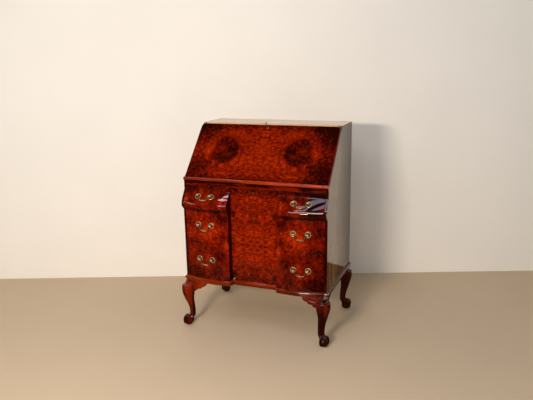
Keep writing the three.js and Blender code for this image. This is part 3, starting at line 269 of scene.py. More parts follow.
def turned(profile, steps):
    """A profile of radius and height turned about z; the ends of the profile lie on the axis."""
    inner = profile[1:-1]
    rings = [[(r * math.cos(a), r * math.sin(a), h) for a in once_round(steps)] for r, h in inner]
    points, faces = loft(rings, caps=False)
    points = np.vstack([points, [(0, 0, profile[0][1]), (0, 0, profile[-1][1])]])
    first, last = len(points) - 2, len(points) - 1
    top = (len(inner) - 1) * steps
    for i in range(steps):
        faces.append((first, (i + 1) % steps, i))
        faces.append((last, top + i, top + (i + 1) % steps))
    return points, faces


def bar_along(path, radii, steps, across):
    """A round bar of changing radius through points."""
    rings = []
    for i, centre in enumerate(path):
        along = path[min(i + 1, len(path) - 1)] - path[max(i - 1, 0)]
        along /= np.linalg.norm(along)
        side = np.cross(across, along)
        side /= np.linalg.norm(side)
        up = np.cross(along, side)
        rings.append([centre + radii[i] * (math.cos(a) * side + math.sin(a) * up) for a in once_round(steps)])
    return loft(rings)


def moved(shell, matrix):
    points, faces = shell
    m = np.array(matrix)
    return np.asarray(points, float) @ m[:3, :3].T + m[:3, 3], faces


# Objects

def new_object(name, data):
    made = bpy.data.objects.new(name, data)
    bpy.context.scene.collection.objects.link(made)
    return made


def discard(obj):
    mesh = obj.data
    bpy.data.objects.remove(obj)
    bpy.data.meshes.remove(mesh)


def raw_object(name, *shells):
    """One mesh of closed shells, welded and facing outwards."""
    build = bmesh.new()
    for points, faces in shells:
        corners = [build.verts.new(p) for p in points]
        for face in faces:
            if len(set(face)) > 2:
                build.faces.new([corners[i] for i in face])
    bmesh.ops.remove_doubles(build, verts=build.verts, dist=1e-6)
    bmesh.ops.recalc_face_normals(build, faces=build.faces)
    mesh = bpy.data.meshes.new(name)
    build.to_mesh(mesh)
    build.free()
    return new_object(name, mesh)


def join(obj, other):
    """Adds another object's mesh to an object's own, and the other goes."""
    build = bmesh.new()
    for part in (obj, other):
        build.from_mesh(part.data)
    build.to_mesh(obj.data)
    build.free()
    discard(other)


def store(mesh, name, values):
    """Stores a number on each point."""
    mesh.attributes.new(name, "FLOAT", "POINT").data.foreach_set("value", np.asarray(values, np.float32))


def settle(obj):
    """Turns an object's modifiers into plain mesh."""
    bpy.context.view_layer.update()
    depsgraph = bpy.context.evaluated_depsgraph_get()
    mesh = bpy.data.meshes.new_from_object(obj.evaluated_get(depsgraph))
    old = obj.data
    obj.modifiers.clear()
    obj.data = mesh
    mesh.name = obj.name
    bpy.data.meshes.remove(old)


def cut_away(obj, shell):
    """Takes a shell out of an object."""
    tool = raw_object(obj.name + "_cut", shell)
    cut = obj.modifiers.new("cut", "BOOLEAN")
    cut.operation = "DIFFERENCE"
    cut.solver = "EXACT"
    cut.object = tool
    settle(obj)
    discard(tool)


def ease_edges(obj, radius, segments, angle_deg=50):
    """Rounds the sharp edges of an object."""
    bevel = obj.modifiers.new("arris", "BEVEL")
    bevel.width = radius
    bevel.segments = segments
    bevel.limit_method = "ANGLE"
    bevel.angle_limit = math.radians(angle_deg)
    bevel.use_clamp_overlap = True
    bevel.miter_outer = "MITER_ARC"
    settle(obj)


def keep_inside(obj, name):
    """Presses the points that stand out of a node's box back onto it."""
    low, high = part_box(name)
    points = np.zeros(len(obj.data.vertices) * 3)
    obj.data.vertices.foreach_get("co", points)
    held = np.clip(points.reshape(-1, 3), np.array(low), np.array(high))
    obj.data.vertices.foreach_set("co", held.ravel())
    obj.data.update()


def finish_piece(obj, body, looks, replaces=(), sharp_deg=40, flat=False):
    """Gives a piece its finishes and its place on a body; flat keeps broad faces plane beside rounded edges."""
    obj.data.materials.clear()
    for name in looks.split():
        obj.data.materials.append(FINISHES[name])
    obj.data.shade_smooth()
    obj.data.set_sharp_from_angle(angle=math.radians(sharp_deg))
    if flat:
        plane = obj.modifiers.new("plane", "WEIGHTED_NORMAL")
        plane.mode = "FACE_AREA"
        plane.weight = 100
        plane.keep_sharp = True
        settle(obj)
    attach(obj, body)
    if replaces:
        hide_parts(*replaces)


def repaint(look, *nodes):
    """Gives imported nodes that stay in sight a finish."""
    for name in nodes:
        for material_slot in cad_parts[name].material_slots:
            material_slot.material = FINISHES[look]


# Nodes

def node(tree, kind, named=None, **settings):
    """Adds a node, and gives its inputs values or links."""
    made = tree.nodes.new(kind)
    for key, value in settings.items():
        setattr(made, key, value)
    for key, value in (named or {}).items():
        if isinstance(value, Field):
            value = value.socket
        if isinstance(value, bpy.types.NodeSocket):
            tree.links.new(value, made.inputs[key])
        else:
            made.inputs[key].default_value = value
    return made


class Field:
    """A number, place or colour that a tree works out at each point; its sums and products are nodes."""

    def __init__(self, socket):
        self.socket = socket

    def into(self, kind, named, output=0, **settings):
        """What a new node in the same tree gives out."""
        return Field(node(self.socket.id_data, kind, named, **settings).outputs[output])

    def maths(self, operation, *others):
        return self.into("ShaderNodeMath", dict(enumerate((self, *others))), operation=operation)

    def __add__(self, other):
        return self.maths("ADD", other)

    def __sub__(self, other):
        return self.maths("SUBTRACT", other)

    def __mul__(self, other):
        return self.maths("MULTIPLY", other)

    def __truediv__(self, other):
        return self.maths("DIVIDE", other)

    def __abs__(self):
        return self.maths("ABSOLUTE")

    def vectors(self, operation, named, output=0):
        return self.into("ShaderNodeVectorMath", {0: self, **named}, output, operation=operation)

    def mapped(self, **named):
        """A place turned, moved or stretched."""
        return self.into("ShaderNodeMapping", {"Vector": self, **named})

    @property
    def parts(self):
        """A place's x, y and z."""
        outputs = node(self.socket.id_data, "ShaderNodeSeparateXYZ", {0: self}).outputs
        return [Field(socket) for socket in outputs]


def combined(x, y, z):
    return x.into("ShaderNodeCombineXYZ", {0: x, 1: y, 2: z})


def noise(place, scale, detail=3.0, roughness=0.5, output="Fac"):
    return place.into("ShaderNodeTexNoise", {
        "Vector": place, "Scale": scale, "Detail": detail, "Roughness": roughness}, output)


def cells(place, scale):
    """Distance to the middle of the nearest of many rounded cells."""
    return place.into("ShaderNodeTexVoronoi", {"Vector": place, "Scale": scale}, "Distance",
                      feature="SMOOTH_F1")


def spread(value, low, high, out_low=0.0, out_high=1.0):
    """Maps a value from one span to another and keeps it there."""
    return value.into("ShaderNodeMapRange", {
        "Value": value, "From Min": low, "From Max": high, "To Min": out_low, "To Max": out_high})


def below(value, low, high):
    """1 up to one value, falling to 0 at another."""
    return spread(value, low, high, 1, 0)


def centred(value, low=0.3, high=0.7):
    """A noise spread about nought."""
    return spread(value, low, high, -0.5, 0.5)


def weighted(tone, *terms):
    """A tone with each term added at its weight."""
    for value, weight in terms:
        tone = value.maths("MULTIPLY_ADD", weight, tone)
    return tone


def blended(share, a, b):
    return share.into("ShaderNodeMix", {0: share, 2: a, 3: b}, data_type="FLOAT")


def laid_over(lower, share, upper):
    """A colour with another laid over it where a share says."""
    return share.into("ShaderNodeMix", {0: share, 6: lower, 7: upper}, 2, data_type="RGBA")


def ramp(value, *stops):
    made = node(value.socket.id_data, "ShaderNodeValToRGB", {"Fac": value})
    elements = made.color_ramp.elements
    while len(elements) < len(stops):
        elements.new(0.5)
    for element, (place, colour) in zip(elements, stops):
        element.position = place
        element.color = (*colour, 1)
    return Field(made.outputs[0])


def mixed(a, b, share):
    return tuple(x * (1 - share) + y * share for x, y in zip(a, b))


def darker(colour, share):
    return mixed(colour, (0, 0, 0), share)


def wobble(place, scale, amount, detail=2.0):
    """Bends coordinates by a soft noise."""
    drift = noise(place, scale, detail, output="Color").vectors("SUBTRACT", {1: (0.5, 0.5, 0.5)})
    return place.vectors("ADD", {1: drift.vectors("SCALE", {"Scale": amount})})


# Finishes

# Dark and bright places of the burr: distance from the middle, height, reach, and weight
FALL_FIGURE = (
    (0.160, 0.168, 0.020, -0.16), (0.205, 0.172, 0.016, 0.10), (0.292, 0.168, 0.042, 0.16),
    (0.315, 0.065, 0.060, -0.30), (0.345, 0.285, 0.085, -0.36),
)
FRONT_FIGURE = (
    (0.24, 0.470, 0.060, 0.11), (0.155, 0.578, 0.038, -0.36), (0.31, 0.54, 0.05, -0.14),
    (0.29, 0.395, 0.05, -0.12), (0.24, 0.685, 0.05, -0.10), (0.165, 0.390, 0.040, -0.20),
)
# Painted reflection: a dark spot on the right block's bulge where a lamp's reflection shows dark; across,
# height, reach, and weight.
PAINTED_REFLECTION_SPOT = (0.300, 0.665, 0.055, -0.36)
EYE_ACROSS, EYE_UP, EYE_SQUASH = 0.187, 0.163, 0.84

# Leather of the fall: half width, middle up the slope, half height, and the gold line's distance from its edge
LEATHER_HALF, LEATHER_MIDDLE, LEATHER_RISE, GOLD_IN = 0.312, 0.1585, 0.1035, 0.009


def new_material(name):
    """An empty material that is entered among the finishes, and the place on the piece."""
    material = bpy.data.materials.new(name)
    material.use_nodes = True
    material.node_tree.nodes.clear()
    FINISHES[name] = material
    return Field(node(material.node_tree, "ShaderNodeTexCoord").outputs["Object"])


def relief(height, strength, depth):
    return height.into("ShaderNodeBump", {"Height": height, "Strength": strength, "Distance": depth})


def surfaced(colour, named):
    """Ends a material with its shader."""
    shader = colour.into("ShaderNodeBsdfPrincipled", {"Base Color": colour, **named})
    node(shader.socket.id_data, "ShaderNodeOutputMaterial", {"Surface": shader})


def polished(place, colour, height, coat_roughness=0.03):
    """French polish over wood: a clear coat that ripples gently, with the grain's relief under it."""
    surfaced(colour, {
        "Roughness": 0.55, "Normal": relief(height, 0.5, 0.0004), "Specular IOR Level": 0.0, "Coat Weight": 1.0,
        "Coat Normal": relief(noise(place, 22, 2.0), 0.5, 0.00022), "Coat Roughness": coat_roughness,
        "Coat IOR": 1.5})


def burr_tone(place, field, along, line_weight, cloud_scale=9, cloud_weight=0.20):
    """Tone and relief of burr walnut: clouds, mottle, curled lines that follow a field, eyes, and pores."""
    bent = wobble(place, 10, 0.035)
    curled = wobble(bent, 48, 0.010, 3.0)
    clouds = centred(noise(bent, cloud_scale, 2.5, 0.55), 0.34, 0.66)
    mottle = centred(noise(curled, 62, 4.0, 0.62))
    fine = centred(noise(curled, 210, 3.0, 0.6))
    sway = weighted(field, (noise(place, 16, 2.0), 0.024), (noise(place, 60, 2.0), 0.010))
    strong = spread(noise(bent, 24, 2.0), 0.38, 0.62)
    lines = (sway * 980).maths("SINE") * strong * line_weight
    dashes = centred(noise(combined(sway * 210, along * 42, 0.0), 1.0, 3.0, 0.6)) * line_weight
    eyes = below(cells(curled, 46), 0.05, 0.24)
    pores = spread(noise(curled, 900, 1.0), 0.3, 0.42)
    tone = weighted(0.545, (clouds, cloud_weight), (mottle, 0.38), (fine, 0.24), (lines, 0.10), (dashes, 0.46),
                    (eyes, -0.18))
    return tone * (pores * 0.14 + 0.86), mottle + fine


def burr_colour(tone):
    f = finishes()
    dark, red, bright = f.burr_dark[:], f.burr_red[:], f.burr_bright[:]
    return ramp(tone, (0.12, dark), (0.34, mixed(dark, red, 0.4)), (0.54, red),
                (0.76, mixed(red, bright, 0.45)), (0.98, bright))


def bump_at(place, centre, reach):
    """1 at a point, falling away smoothly."""
    away = place.vectors("DISTANCE", {1: centre}, "Value") / reach
    return (away * away * -1.0).maths("EXPONENT")


def laid_on_slope(place):
    """Coordinates across the fall, up it, and out of its face."""
    return place.mapped(Location=FALL_FRAME.inverted().translation, Rotation=(-SLOPE, 0, 0))


def mix_fall_burr():
    """Burr of the fall, opened like a book about its middle, with a dark eye on each leaf."""
    place = new_material("burr_fall")
    x, up, out = laid_on_slope(place).parts
    across = abs(x)
    warped = wobble(wobble(combined(across, up, 0.0), 16, 0.016), 60, 0.010, 3.0)
    away = warped.mapped(Scale=(1, EYE_SQUASH, 1)).vectors(
        "DISTANCE", {1: (EYE_ACROSS, EYE_UP * EYE_SQUASH, 0)}, "Value")
    disc = below(away, 0.056, 0.074)
    tone, height = burr_tone(combined(across, up, out), blended(below(away, 0.06, 0.11), up, away), across,
                             blended(disc, 1.1, 0.6))
    # Painted shade: the fall darkens towards its right-hand side.
    tone = weighted(
        tone, (below(across, 0.06, 0.14), 0.05), (disc, -0.24), (spread(away, 0.040, 0.056) * disc, -0.03),
        *((bump_at(warped, (at, rise, 0), reach), weight) for at, rise, reach, weight in FALL_FIGURE),
        (spread(up, FALL_LENGTH - 0.05, FALL_LENGTH - 0.006), -0.26), (below(up, 0.002, 0.03), -0.20),
        (spread(x, 0.20, 0.36), -0.20))
    polished(place, burr_colour(tone), height)


def mix_front_burr():
    """Burr of the drawers: matched about the middle, and four ways with curved rays in the recess."""
    place = new_material("burr_fronts")
    x, depth, z = place.parts
    across = abs(x)
    recess = below(across, 0.1165, 0.1185)
    seam = LEVELS["middle"][0]
    folded = abs(z - seam)
    leaf = combined(across, depth * 0.4, blended(recess, z, folded))
    swirl = noise(wobble(leaf, 12, 0.03), 7, 1.0) * 0.16
    rays = folded / (across * 6.0 + 0.42)
    ripples = weighted(folded, (noise(leaf, 18, 2.0), 0.03))
    swept = blended(recess, swirl, blended(below(folded, 0.09, 0.15), ripples, rays))
    tone, height = burr_tone(leaf, swept, across, blended(recess, 0.7, 1.2), 15, blended(recess, 0.32, 0.12))
    fold_leaf = wobble(combined(across, 0.0, z), 22, 0.05, 3.0)
    drift_x, _, drift_z = wobble(place, 30, 0.05, 3.0).parts
    figure = [(fold_leaf, spot) for spot in FRONT_FIGURE] + [(combined(x, 0.0, z), PAINTED_REFLECTION_SPOT)]
    # Painted shade at the inner end of each block's bulge.
    shade_beside_join = spread(across, 0.119, 0.122) * below(abs(z - 0.610), 0.004, 0.013)
    # Painted shade at the top right of the upper drawer.
    right_top_shade = spread(drift_z, DRAWER_TOP - 0.04, DRAWER_TOP - 0.01) * spread(x, 0.05, 0.2)
    # Painted shade on the blocks' inner return faces.
    step = spread(across, 0.1158, 0.1166) * below(across, 0.1200, 0.1212)
    # Painted shade also darkens both ends of the fronts, most at the right; the fronts grow darker towards the
    # bottom and towards the top of the upper drawer.
    tone = weighted(
        tone, (recess, 0.015), (recess * bump_at(fold_leaf, (0.0, 0, seam), 0.09), 0.03),
        *((bump_at(on, (at, 0, rise), reach), weight) for on, (at, rise, reach, weight) in figure),
        (shade_beside_join, -0.22), (below(drift_z, CASE_FLOOR, CASE_FLOOR + 0.10), -0.24),
        (spread(drift_x, -0.30, -0.36), -0.10), (spread(drift_x, 0.26, 0.35), -0.24),
        (spread(drift_z, DRAWER_TOP - 0.045, DRAWER_TOP - 0.005), -0.24), (right_top_shade, -0.14), (step, -0.6))
    polished(place, burr_colour(tone), height)


def grained(place, along, stretch):
    """Coordinates drawn out along one axis."""
    return place.mapped(Scale=[stretch if axis == along else 1 for axis in "xyz"])


def mix_straight(name, dark, bright, along, coat_roughness=0.03, streaks=1.0, shade_spans=(), behind=None):
    """Straight-grained wood with its grain along one axis, darkened over spans by painted shade, and plain
    behind a depth.
    """
    place = new_material(name)
    run = grained(wobble(place, 5, 0.02), along, 0.06)
    broad = centred(noise(run, 40, 3.0, 0.55))
    fine = centred(noise(run, 240, 3.0, 0.6))
    slow = centred(noise(place, 6, 2.0))
    pores = spread(noise(grained(place, along, 0.06), 1300, 1.0), 0.28, 0.4)
    tone = weighted(0.5, (broad, 0.45 * streaks), (fine, 0.25 * streaks), (slow, 0.3))
    parts = dict(zip("xyz", place.parts))
    # Painted shade, growing over each span along an axis.
    tone = weighted(tone, *((spread(parts[axis], start, end), weight) for axis, start, end, weight in shade_spans))
    tone = tone * (pores * 0.12 + 0.88)
    shown = ramp(tone, (0.1, dark), (0.5, mixed(dark, bright, 0.6)), (0.9, bright))
    if behind:
        depth, plain = behind
        plain = ramp(tone, (0.2, darker(plain, 0.5)), (0.8, plain))
        shown = laid_over(shown, spread(parts["y"], depth, depth + 0.0003), plain)
    polished(place, shown, fine, coat_roughness)


def mix_lining():
    """Leather let into the fall's inner face, with a tooled gold line, inside a border of the top's veneer."""
    place = new_material("lining")
    f = finishes()
    across, up, _ = laid_on_slope(place).parts
    edge = (abs(across) - LEATHER_HALF).maths("MAXIMUM", abs(up - LEATHER_MIDDLE) - LEATHER_RISE)
    leather = below(edge, -0.0002, 0.0002)
    line = below(abs(edge + GOLD_IN), 0.0006, 0.0009)
    groove = below(abs(edge), 0.0002, 0.0007)
    run = grained(place, "x", 0.06)
    worn_places = noise(place, 14, 4.0, 0.6)
    shown = ramp(noise(run, 60, 4.0, 0.6), (0.3, f.side_dark[:]), (0.7, f.side_bright[:]))
    hide = ramp(worn_places, (0.3, f.leather[:]), (0.6, mixed(f.leather[:], (0.30, 0.16, 0.08), 0.25)))
    gilt = (*mixed(f.brass[:], f.brass_dark[:], 0.3), 1)
    for share, upper in ((leather, hide), (line, gilt), (groove, (0.012, 0.006, 0.004, 1))):
        shown = laid_over(shown, share, upper)
    surfaced(shown, {
        "Roughness": blended(leather, 0.3, spread(worn_places, 0.3, 0.7, 0.5, 0.38)), "Metallic": line * 0.8,
        "Normal": relief(blended(leather, noise(run, 300, 2.0), cells(place, 900)), 0.5, 0.0004)})


def mix_brass(name, rubbed):
    """Brass toned at random, and darkened in its hollows by painted shade stored on its points."""
    place = new_material(name)
    bright, dark = finishes().brass[:], finishes().brass_dark[:]
    hollow = place.into("ShaderNodeAttribute", {}, "Fac", attribute_name="hollow", attribute_type="GEOMETRY")
    fine = noise(place, 1500, 2.0)
    # Random toning, less the painted shade stored on the points.
    tone_and_painted_shade = weighted(rubbed, (fine, 0.25), (noise(place, 190, 4.0, 0.6), 0.8), (hollow, -0.5))
    shown = ramp(tone_and_painted_shade, (0.22, darker(dark, 0.6)), (0.38, dark), (0.5, mixed(dark, bright, 0.7)), (0.64, bright))
    surfaced(shown, {"Metallic": 0.65, "Roughness": spread(tone_and_painted_shade, 0.3, 0.65, 0.5, 0.24),
                     "Normal": relief(fine, 0.25, 0.0002)})


def mix_steel(name, rough):
    """Dull steel of the key and the bolt."""
    fine = noise(new_material(name), 700, 3.0, 0.6)
    steel = finishes().steel[:]
    surfaced(ramp(fine, (0.3, darker(steel, 0.45)), (0.7, steel)), {
        "Metallic": 1.0, "Roughness": spread(fine, 0.3, 0.7, rough + 0.1, rough),
        "Normal": relief(fine, 0.3, 0.0002)})


def dovetailed(place, shown):
    """Draws the dovetails that join a drawer's sides to its front."""
    _, y, z = place.parts
    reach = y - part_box("drawer_box_upper")[0].y
    within = below(reach, 0.0138, 0.0141)
    flank = z.maths("PINGPONG", 0.0125) - reach.maths("MULTIPLY_ADD", 0.2, 0.0026)
    pins = below(flank, -0.0002, 0.0002) * within
    joint = below(abs(flank), 0.0001, 0.0005) * within
    end = below(abs(reach - 0.0139), 0.0001, 0.0004)
    for share, upper in ((pins, (0.20, 0.10, 0.045, 1)), (joint, (0.03, 0.014, 0.006, 1)), (
            end, (0.05, 0.022, 0.01, 1))):
        shown = laid_over(shown, share, upper)
    return shown


def mix_plain(name, tint, along, dovetails=False):
    """Unpolished inner wood."""
    place = new_material(name)
    run = grained(wobble(place, 4, 0.03), along, 0.05)
    broad = noise(run, 45, 3.0, 0.6)
    fine = noise(run, 420, 3.0, 0.6)
    tone = fine.maths("MULTIPLY_ADD", 0.4, broad * 0.6)
    shown = ramp(tone, (0.35, mixed(tint, (0.02, 0.01, 0.005), 0.45)),
                 (0.5, mixed(tint, (0.1, 0.05, 0.02), 0.2)), (0.65, mixed(tint, (0.9, 0.75, 0.5), 0.12)))
    if dovetails:
        shown = dovetailed(place, shown)
    surfaced(shown, {"Roughness": spread(fine, 0.3, 0.7, 0.62, 0.5), "Normal": relief(fine, 0.4, 0.0004),
                     "Specular IOR Level": 0.3})


class BUREAU_OT_finishes(bpy.types.Operator):
    """Mix the finishes"""
    bl_idname = "bureau.finishes"
    bl_label = "Mix finishes"

    def execute(self, context):
        f = finishes()
        dark, bright, inner = f.straight_dark[:], f.straight_bright[:], f.inner_wood[:]
        # Darker copies of the mouldings' tones, for the base moulding and the fall's rim: painted shade.
        painted_shade_dark, painted_shade_bright = darker(dark, 0.5), darker(bright, 0.5)
        burr_dark, burr_red, burr_bright = f.burr_dark[:], f.burr_red[:], f.burr_bright[:]
        # The top's veneer is the sides' veneer made far paler and warmer: a painted sheen, for the bright wall
        # it mirrors.
        pale = [mixed(tone[:], (0.98, 0.60, 0.30), 0.5) for tone in (f.side_dark, f.side_bright)]
        mix_fall_burr()
        mix_front_burr()
        mix_straight("nosing_wood", dark, mixed(bright, (1, 0.14, 0.01), 0.1), "x")
        # The front base moulding also darkens towards the right: painted shade.
        mix_straight("base_across", painted_shade_dark, mixed(painted_shade_bright, (1, 0.16, 0.01), 0.1), "x",
                     shade_spans=[("x", 0.12, 0.32, -0.3)])
        mix_straight("base_deep", painted_shade_dark, painted_shade_bright, "y")
        mix_straight("rim_wood", painted_shade_dark, painted_shade_bright, "y")
        # Painted shade: the frieze darkens towards the right.
        mix_straight("frieze_veneer", burr_dark, mixed(burr_red, burr_bright, 0.25), "x", streaks=2.4,
                     shade_spans=[("x", 0.05, 0.3, -0.25)])
        # Painted shade: the front legs darken towards their feet, and the right front leg is darker.
        mix_straight("leg_wood", darker(dark, 0.7), darker(bright, 0.35), "z",
                     shade_spans=[("z", 0.19, 0.06, -0.3), ("x", 0.1, 0.3, -0.2)])
        # Painted shade: the back legs take a much darker copy of the mouldings' wood.
        mix_straight("back_leg_wood", darker(dark, 0.85), mixed(bright, (0.01, 0.004, 0.002), 0.8), "z")
        # Painted shade: the sides darken towards the back, for the bureau's shadow on the wall that they
        # mirror.
        mix_straight("side_veneer", f.side_dark[:], f.side_bright[:], "z", coat_roughness=0.07,
                     shade_spans=[("y", -0.05, 0.2, -0.9)])
        mix_straight("top_veneer", *pale, "x", coat_roughness=0.05)
        mix_straight("edge_dark", burr_dark, mixed(burr_dark, burr_red, 0.22), "z")
        mix_straight("inner_polished", darker(inner, 0.75), mixed(inner, (0.3, 0.1, 0.03), 0.5), "x",
                     coat_roughness=0.12)
        mix_straight("small_drawer_wood", burr_dark, mixed(burr_red, burr_bright, 0.3), "x", streaks=1.6,
                     behind=(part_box("small_drawer_left")[0].y + 0.010, inner))
        mix_lining()
        mix_plain("inner_across", inner, "x")
        mix_plain("inner_deep", inner, "y", dovetails=True)
        mix_plain("inner_upright", mixed(inner, (0.1, 0.03, 0.01), 0.3), "z")
        # A near-black finish for the walls of the keyholes: painted shade.
        mix_plain("keyhole_dark", (0.01, 0.006, 0.004), "x")
        mix_brass("aged_brass", 0.0)
        mix_brass("toned_brass", -0.3)
        mix_steel("dark_steel", 0.35)
        return {"FINISHED"}


# Shape of the blocked and bowed fronts

# Rows of the ogee: shares of its height, of the block's depth, and of the nose's projection
BULGE_SHARES = np.array([
    (0, 0, 0), (0.03, 0.035, 0.035), (0.09, 0.15, 0.15), (0.235, 0.41, 0.41), (0.41, 0.71, 0.71),
    (0.53, 0.88, 0.87), (0.61, 0.96, 0.95), (0.68, 1, 1), (0.75, 1, 0.99), (0.82, 1, 0.86),
    (0.885, 1, 0.6), (0.95, 1, 0.25), (1, 1, 0),
])
UPPER_LOW, UPPER_HIGH = LEVELS["upper"]
BULGE_TOP = UPPER_HIGH - (UPPER_HIGH - UPPER_LOW) * 0.18
BULGE_FOOT = UPPER_HIGH - (UPPER_HIGH - UPPER_LOW) * 0.985
BULGE_STEP = 0.0016

# Shares of a worn edge at which its points lie
EDGE_SHARES = (0, 0.1, 0.3, 0.6, 1)


def block_depth(x):
    """How far the front stands before the frieze at a place along its width."""
    s = sizes()
    along = np.abs(np.asarray(x, float))
    start = s.block_inner - s.block_return
    share = np.clip((along - s.block_inner) / (OPENING_HALF - s.block_inner), 0, 1)
    chord = s.block_depth_inner + (s.block_depth_outer - s.block_depth_inner) * share
    bowed = chord + s.block_bow * 4 * share * (1 - share)
    rise = s.block_depth_inner * np.clip((along - start) / s.block_return, 0, 1)
    return np.where(along < s.block_inner, rise, bowed)


def eased_depth(x):
    """The same with its corners eased by a millimetre."""
    reach = 0.0009
    return np.mean([block_depth(np.abs(x) + d * reach) for d in (-1, -0.5, 0, 0.5, 1)], axis=0)


def bulge_out(depth, z):
    """How far the top drawer stands out at a height, where the block is so deep."""
    share = np.clip((BULGE_TOP - np.asarray(z, float)) / (BULGE_TOP - BULGE_FOOT), 0, 1)
    block_share, nose = (smooth_through(BULGE_SHARES[:, 0], BULGE_SHARES[:, i], share) for i in (1, 2))
    s = sizes()
    return depth * block_share + s.bulge_nose * nose * np.minimum(1, depth / s.block_depth_outer)


def plan_stations(end):
    """Places across a front, close together at its edges and at the blocks' corners."""
    s = sizes()
    start = s.block_inner - s.block_return
    half = np.unique(np.round(np.concatenate([
        spaced(0, start - 0.0015, 0.02), spaced(start - 0.0012, s.block_inner + 0.0012, 0.0003),
        spaced(s.block_inner + 0.002, end - s.arris, 0.005), [end - s.arris * t for t in EDGE_SHARES]]), 6))
    return np.concatenate([-half[:0:-1], half])


def worn(distance, radius):
    """How far an edge is worn back at a distance from it."""
    t = np.clip(np.asarray(distance, float) / radius, 0, 1)
    return radius * (1 - np.sqrt(np.clip(1 - (1 - t) ** 2, 0, 1)))


def front_shell(low, high, bulged):
    """A drawer front: its shaped face on a flat back."""
    s = sizes()
    end = OPENING_HALF - SEAM / 2
    edge = np.array([s.arris * t for t in EDGE_SHARES])
    rows = np.unique(np.round(np.concatenate([
        low + edge, spaced(low + s.arris, high - s.arris, BULGE_STEP if bulged else 0.02), high - edge]), 7))
    x, z = np.meshgrid(plan_stations(end), rows)
    depth = eased_depth(x)
    out = bulge_out(depth, z) if bulged else depth
    back = worn(end - np.abs(x), s.arris) + worn(z - low, s.arris) + worn(high - z, s.arris)
    y = FACE - out + np.minimum(back, s.arris)
    count, size = x.shape
    points = np.stack([x, y, z], -1).reshape(-1, 3)
    faces = [
        (r * size + c, r * size + c + 1, (r + 1) * size + c + 1, (r + 1) * size + c)
        for r in range(count - 1) for c in range(size - 1)
    ]
    grid = np.arange(count * size).reshape(count, size)
    rim = [*grid[0], *grid[1:, -1], *grid[-1, -2::-1], *grid[-2:0:-1, 0]]
    behind = points[rim].copy()
    behind[:, 1] = FACE + FRONT_THICKNESS
    base, total = len(points), len(rim)
    for i in range(total):
        j = (i + 1) % total
        faces.append((rim[j], rim[i], base + i, base + j))
    faces.append(tuple(base + i for i in range(total)))
    return np.vstack([points, behind]), faces


class BUREAU_OT_drawer_fronts(bpy.types.Operator):
    """Make the three blocked and bowed drawer fronts"""
    bl_idname = "bureau.drawer_fronts"
    bl_label = "Drawer fronts"

    def execute(self, context):
        for name, (low, high) in LEVELS.items():
            front = raw_object("front_" + name, front_shell(low + SEAM / 2, high - SEAM / 2, name == "upper"))
            cut_away(front, round_hole(high - KEY_DOWN, TUBE_RADIUS + CLEARANCE, FACE - 0.005, FACE + 0.03))
            finish_piece(front, "drawer_" + name, "burr_fronts", ["drawer_front_" + name], 35,
                         flat=True)
        return {"FINISHED"}


# The case

def seat_y(z):
    """Where the slanted edges that the closed fall rests on lie at a height."""
    heel = FALL_FRAME @ Vector((0, 0, -sizes().fall_thickness))
    return heel.y + (z - heel.z) / math.tan(SLOPE) + CLEARANCE / math.sin(SLOPE)


def nose_outline(floor):
    """The nosing from its underside round the front to the groove behind it."""
    s = sizes()
    lower = NOSING_HEIGHT - s.nose_radius
    middle = FACE - NOSING_OUT + lower
    heel = (FALL_FRAME @ Vector((0, 0, -s.fall_thickness))).z - 0.0008
    drop = math.asin((heel - PIVOT.z) / s.nose_radius)
    points = [(middle, floor)]
    points += [(middle + lower * math.cos(a), PIVOT.z + lower * math.sin(a))
               for a in np.linspace(-math.pi / 2, -math.pi, 7)[1:]]
    points += [(PIVOT.y + s.nose_radius * math.cos(a), PIVOT.z + s.nose_radius * math.sin(a))
               for a in np.linspace(math.pi, drop, 15)[1:]]
    return points + [(seat_y(heel), heel)]


def side_outline(inner=False):
    """Outline of a side board's outer layer, or of the layer that stands inside the drawers' opening."""
    depth = sizes().block_depth_outer
    foot = CASE_FLOOR + CLEARANCE
    lap = CASE_TOP - TOP_LAP - CLEARANCE
    nosing_floor = WRITING_LEVEL - NOSING_HEIGHT
    if inner:
        front, back = FACE + FRONT_THICKNESS + CLEARANCE, CASE_BACK - BACK_THICKNESS - CLEARANCE
        points = [(front, foot), (front, nosing_floor)]
    else:
        back = CASE_BACK
        points = [(FACE - depth, foot)]
        points += [(FACE - float(bulge_out(depth, z)), z) for z in spaced(BULGE_FOOT, BULGE_TOP, BULGE_STEP)]
        points.append((FACE, nosing_floor))
    return points + nose_outline(nosing_floor) + [(seat_y(lap), lap), (back, lap), (back, foot)]


def sloped_board(low, high, half):
    """A board that runs from the fall's seat to the back."""
    outline = [(seat_y(low), low), (CASE_BACK, low), (CASE_BACK, high), (seat_y(high), high)]
    return drawn_across(outline, -half, half)


def paint_edges(obj, edge_slot, nose_slot):
    """Gives the faces at a side board's front that don't look sideways their own finishes."""
    nose_low, nose_high = WRITING_LEVEL - NOSING_HEIGHT - 0.0015, WRITING_LEVEL + 0.001
    for face in obj.data.polygons:
        normal, place = face.normal, face.center
        sideways = 0.97 if normal.x * place.x < 0 else 0.6
        if abs(normal.x) < sideways and normal.y < -0.05 and place.y < FACE + SIDE_THICKNESS:
            face.material_index = nose_slot if nose_low < place.z < nose_high else edge_slot


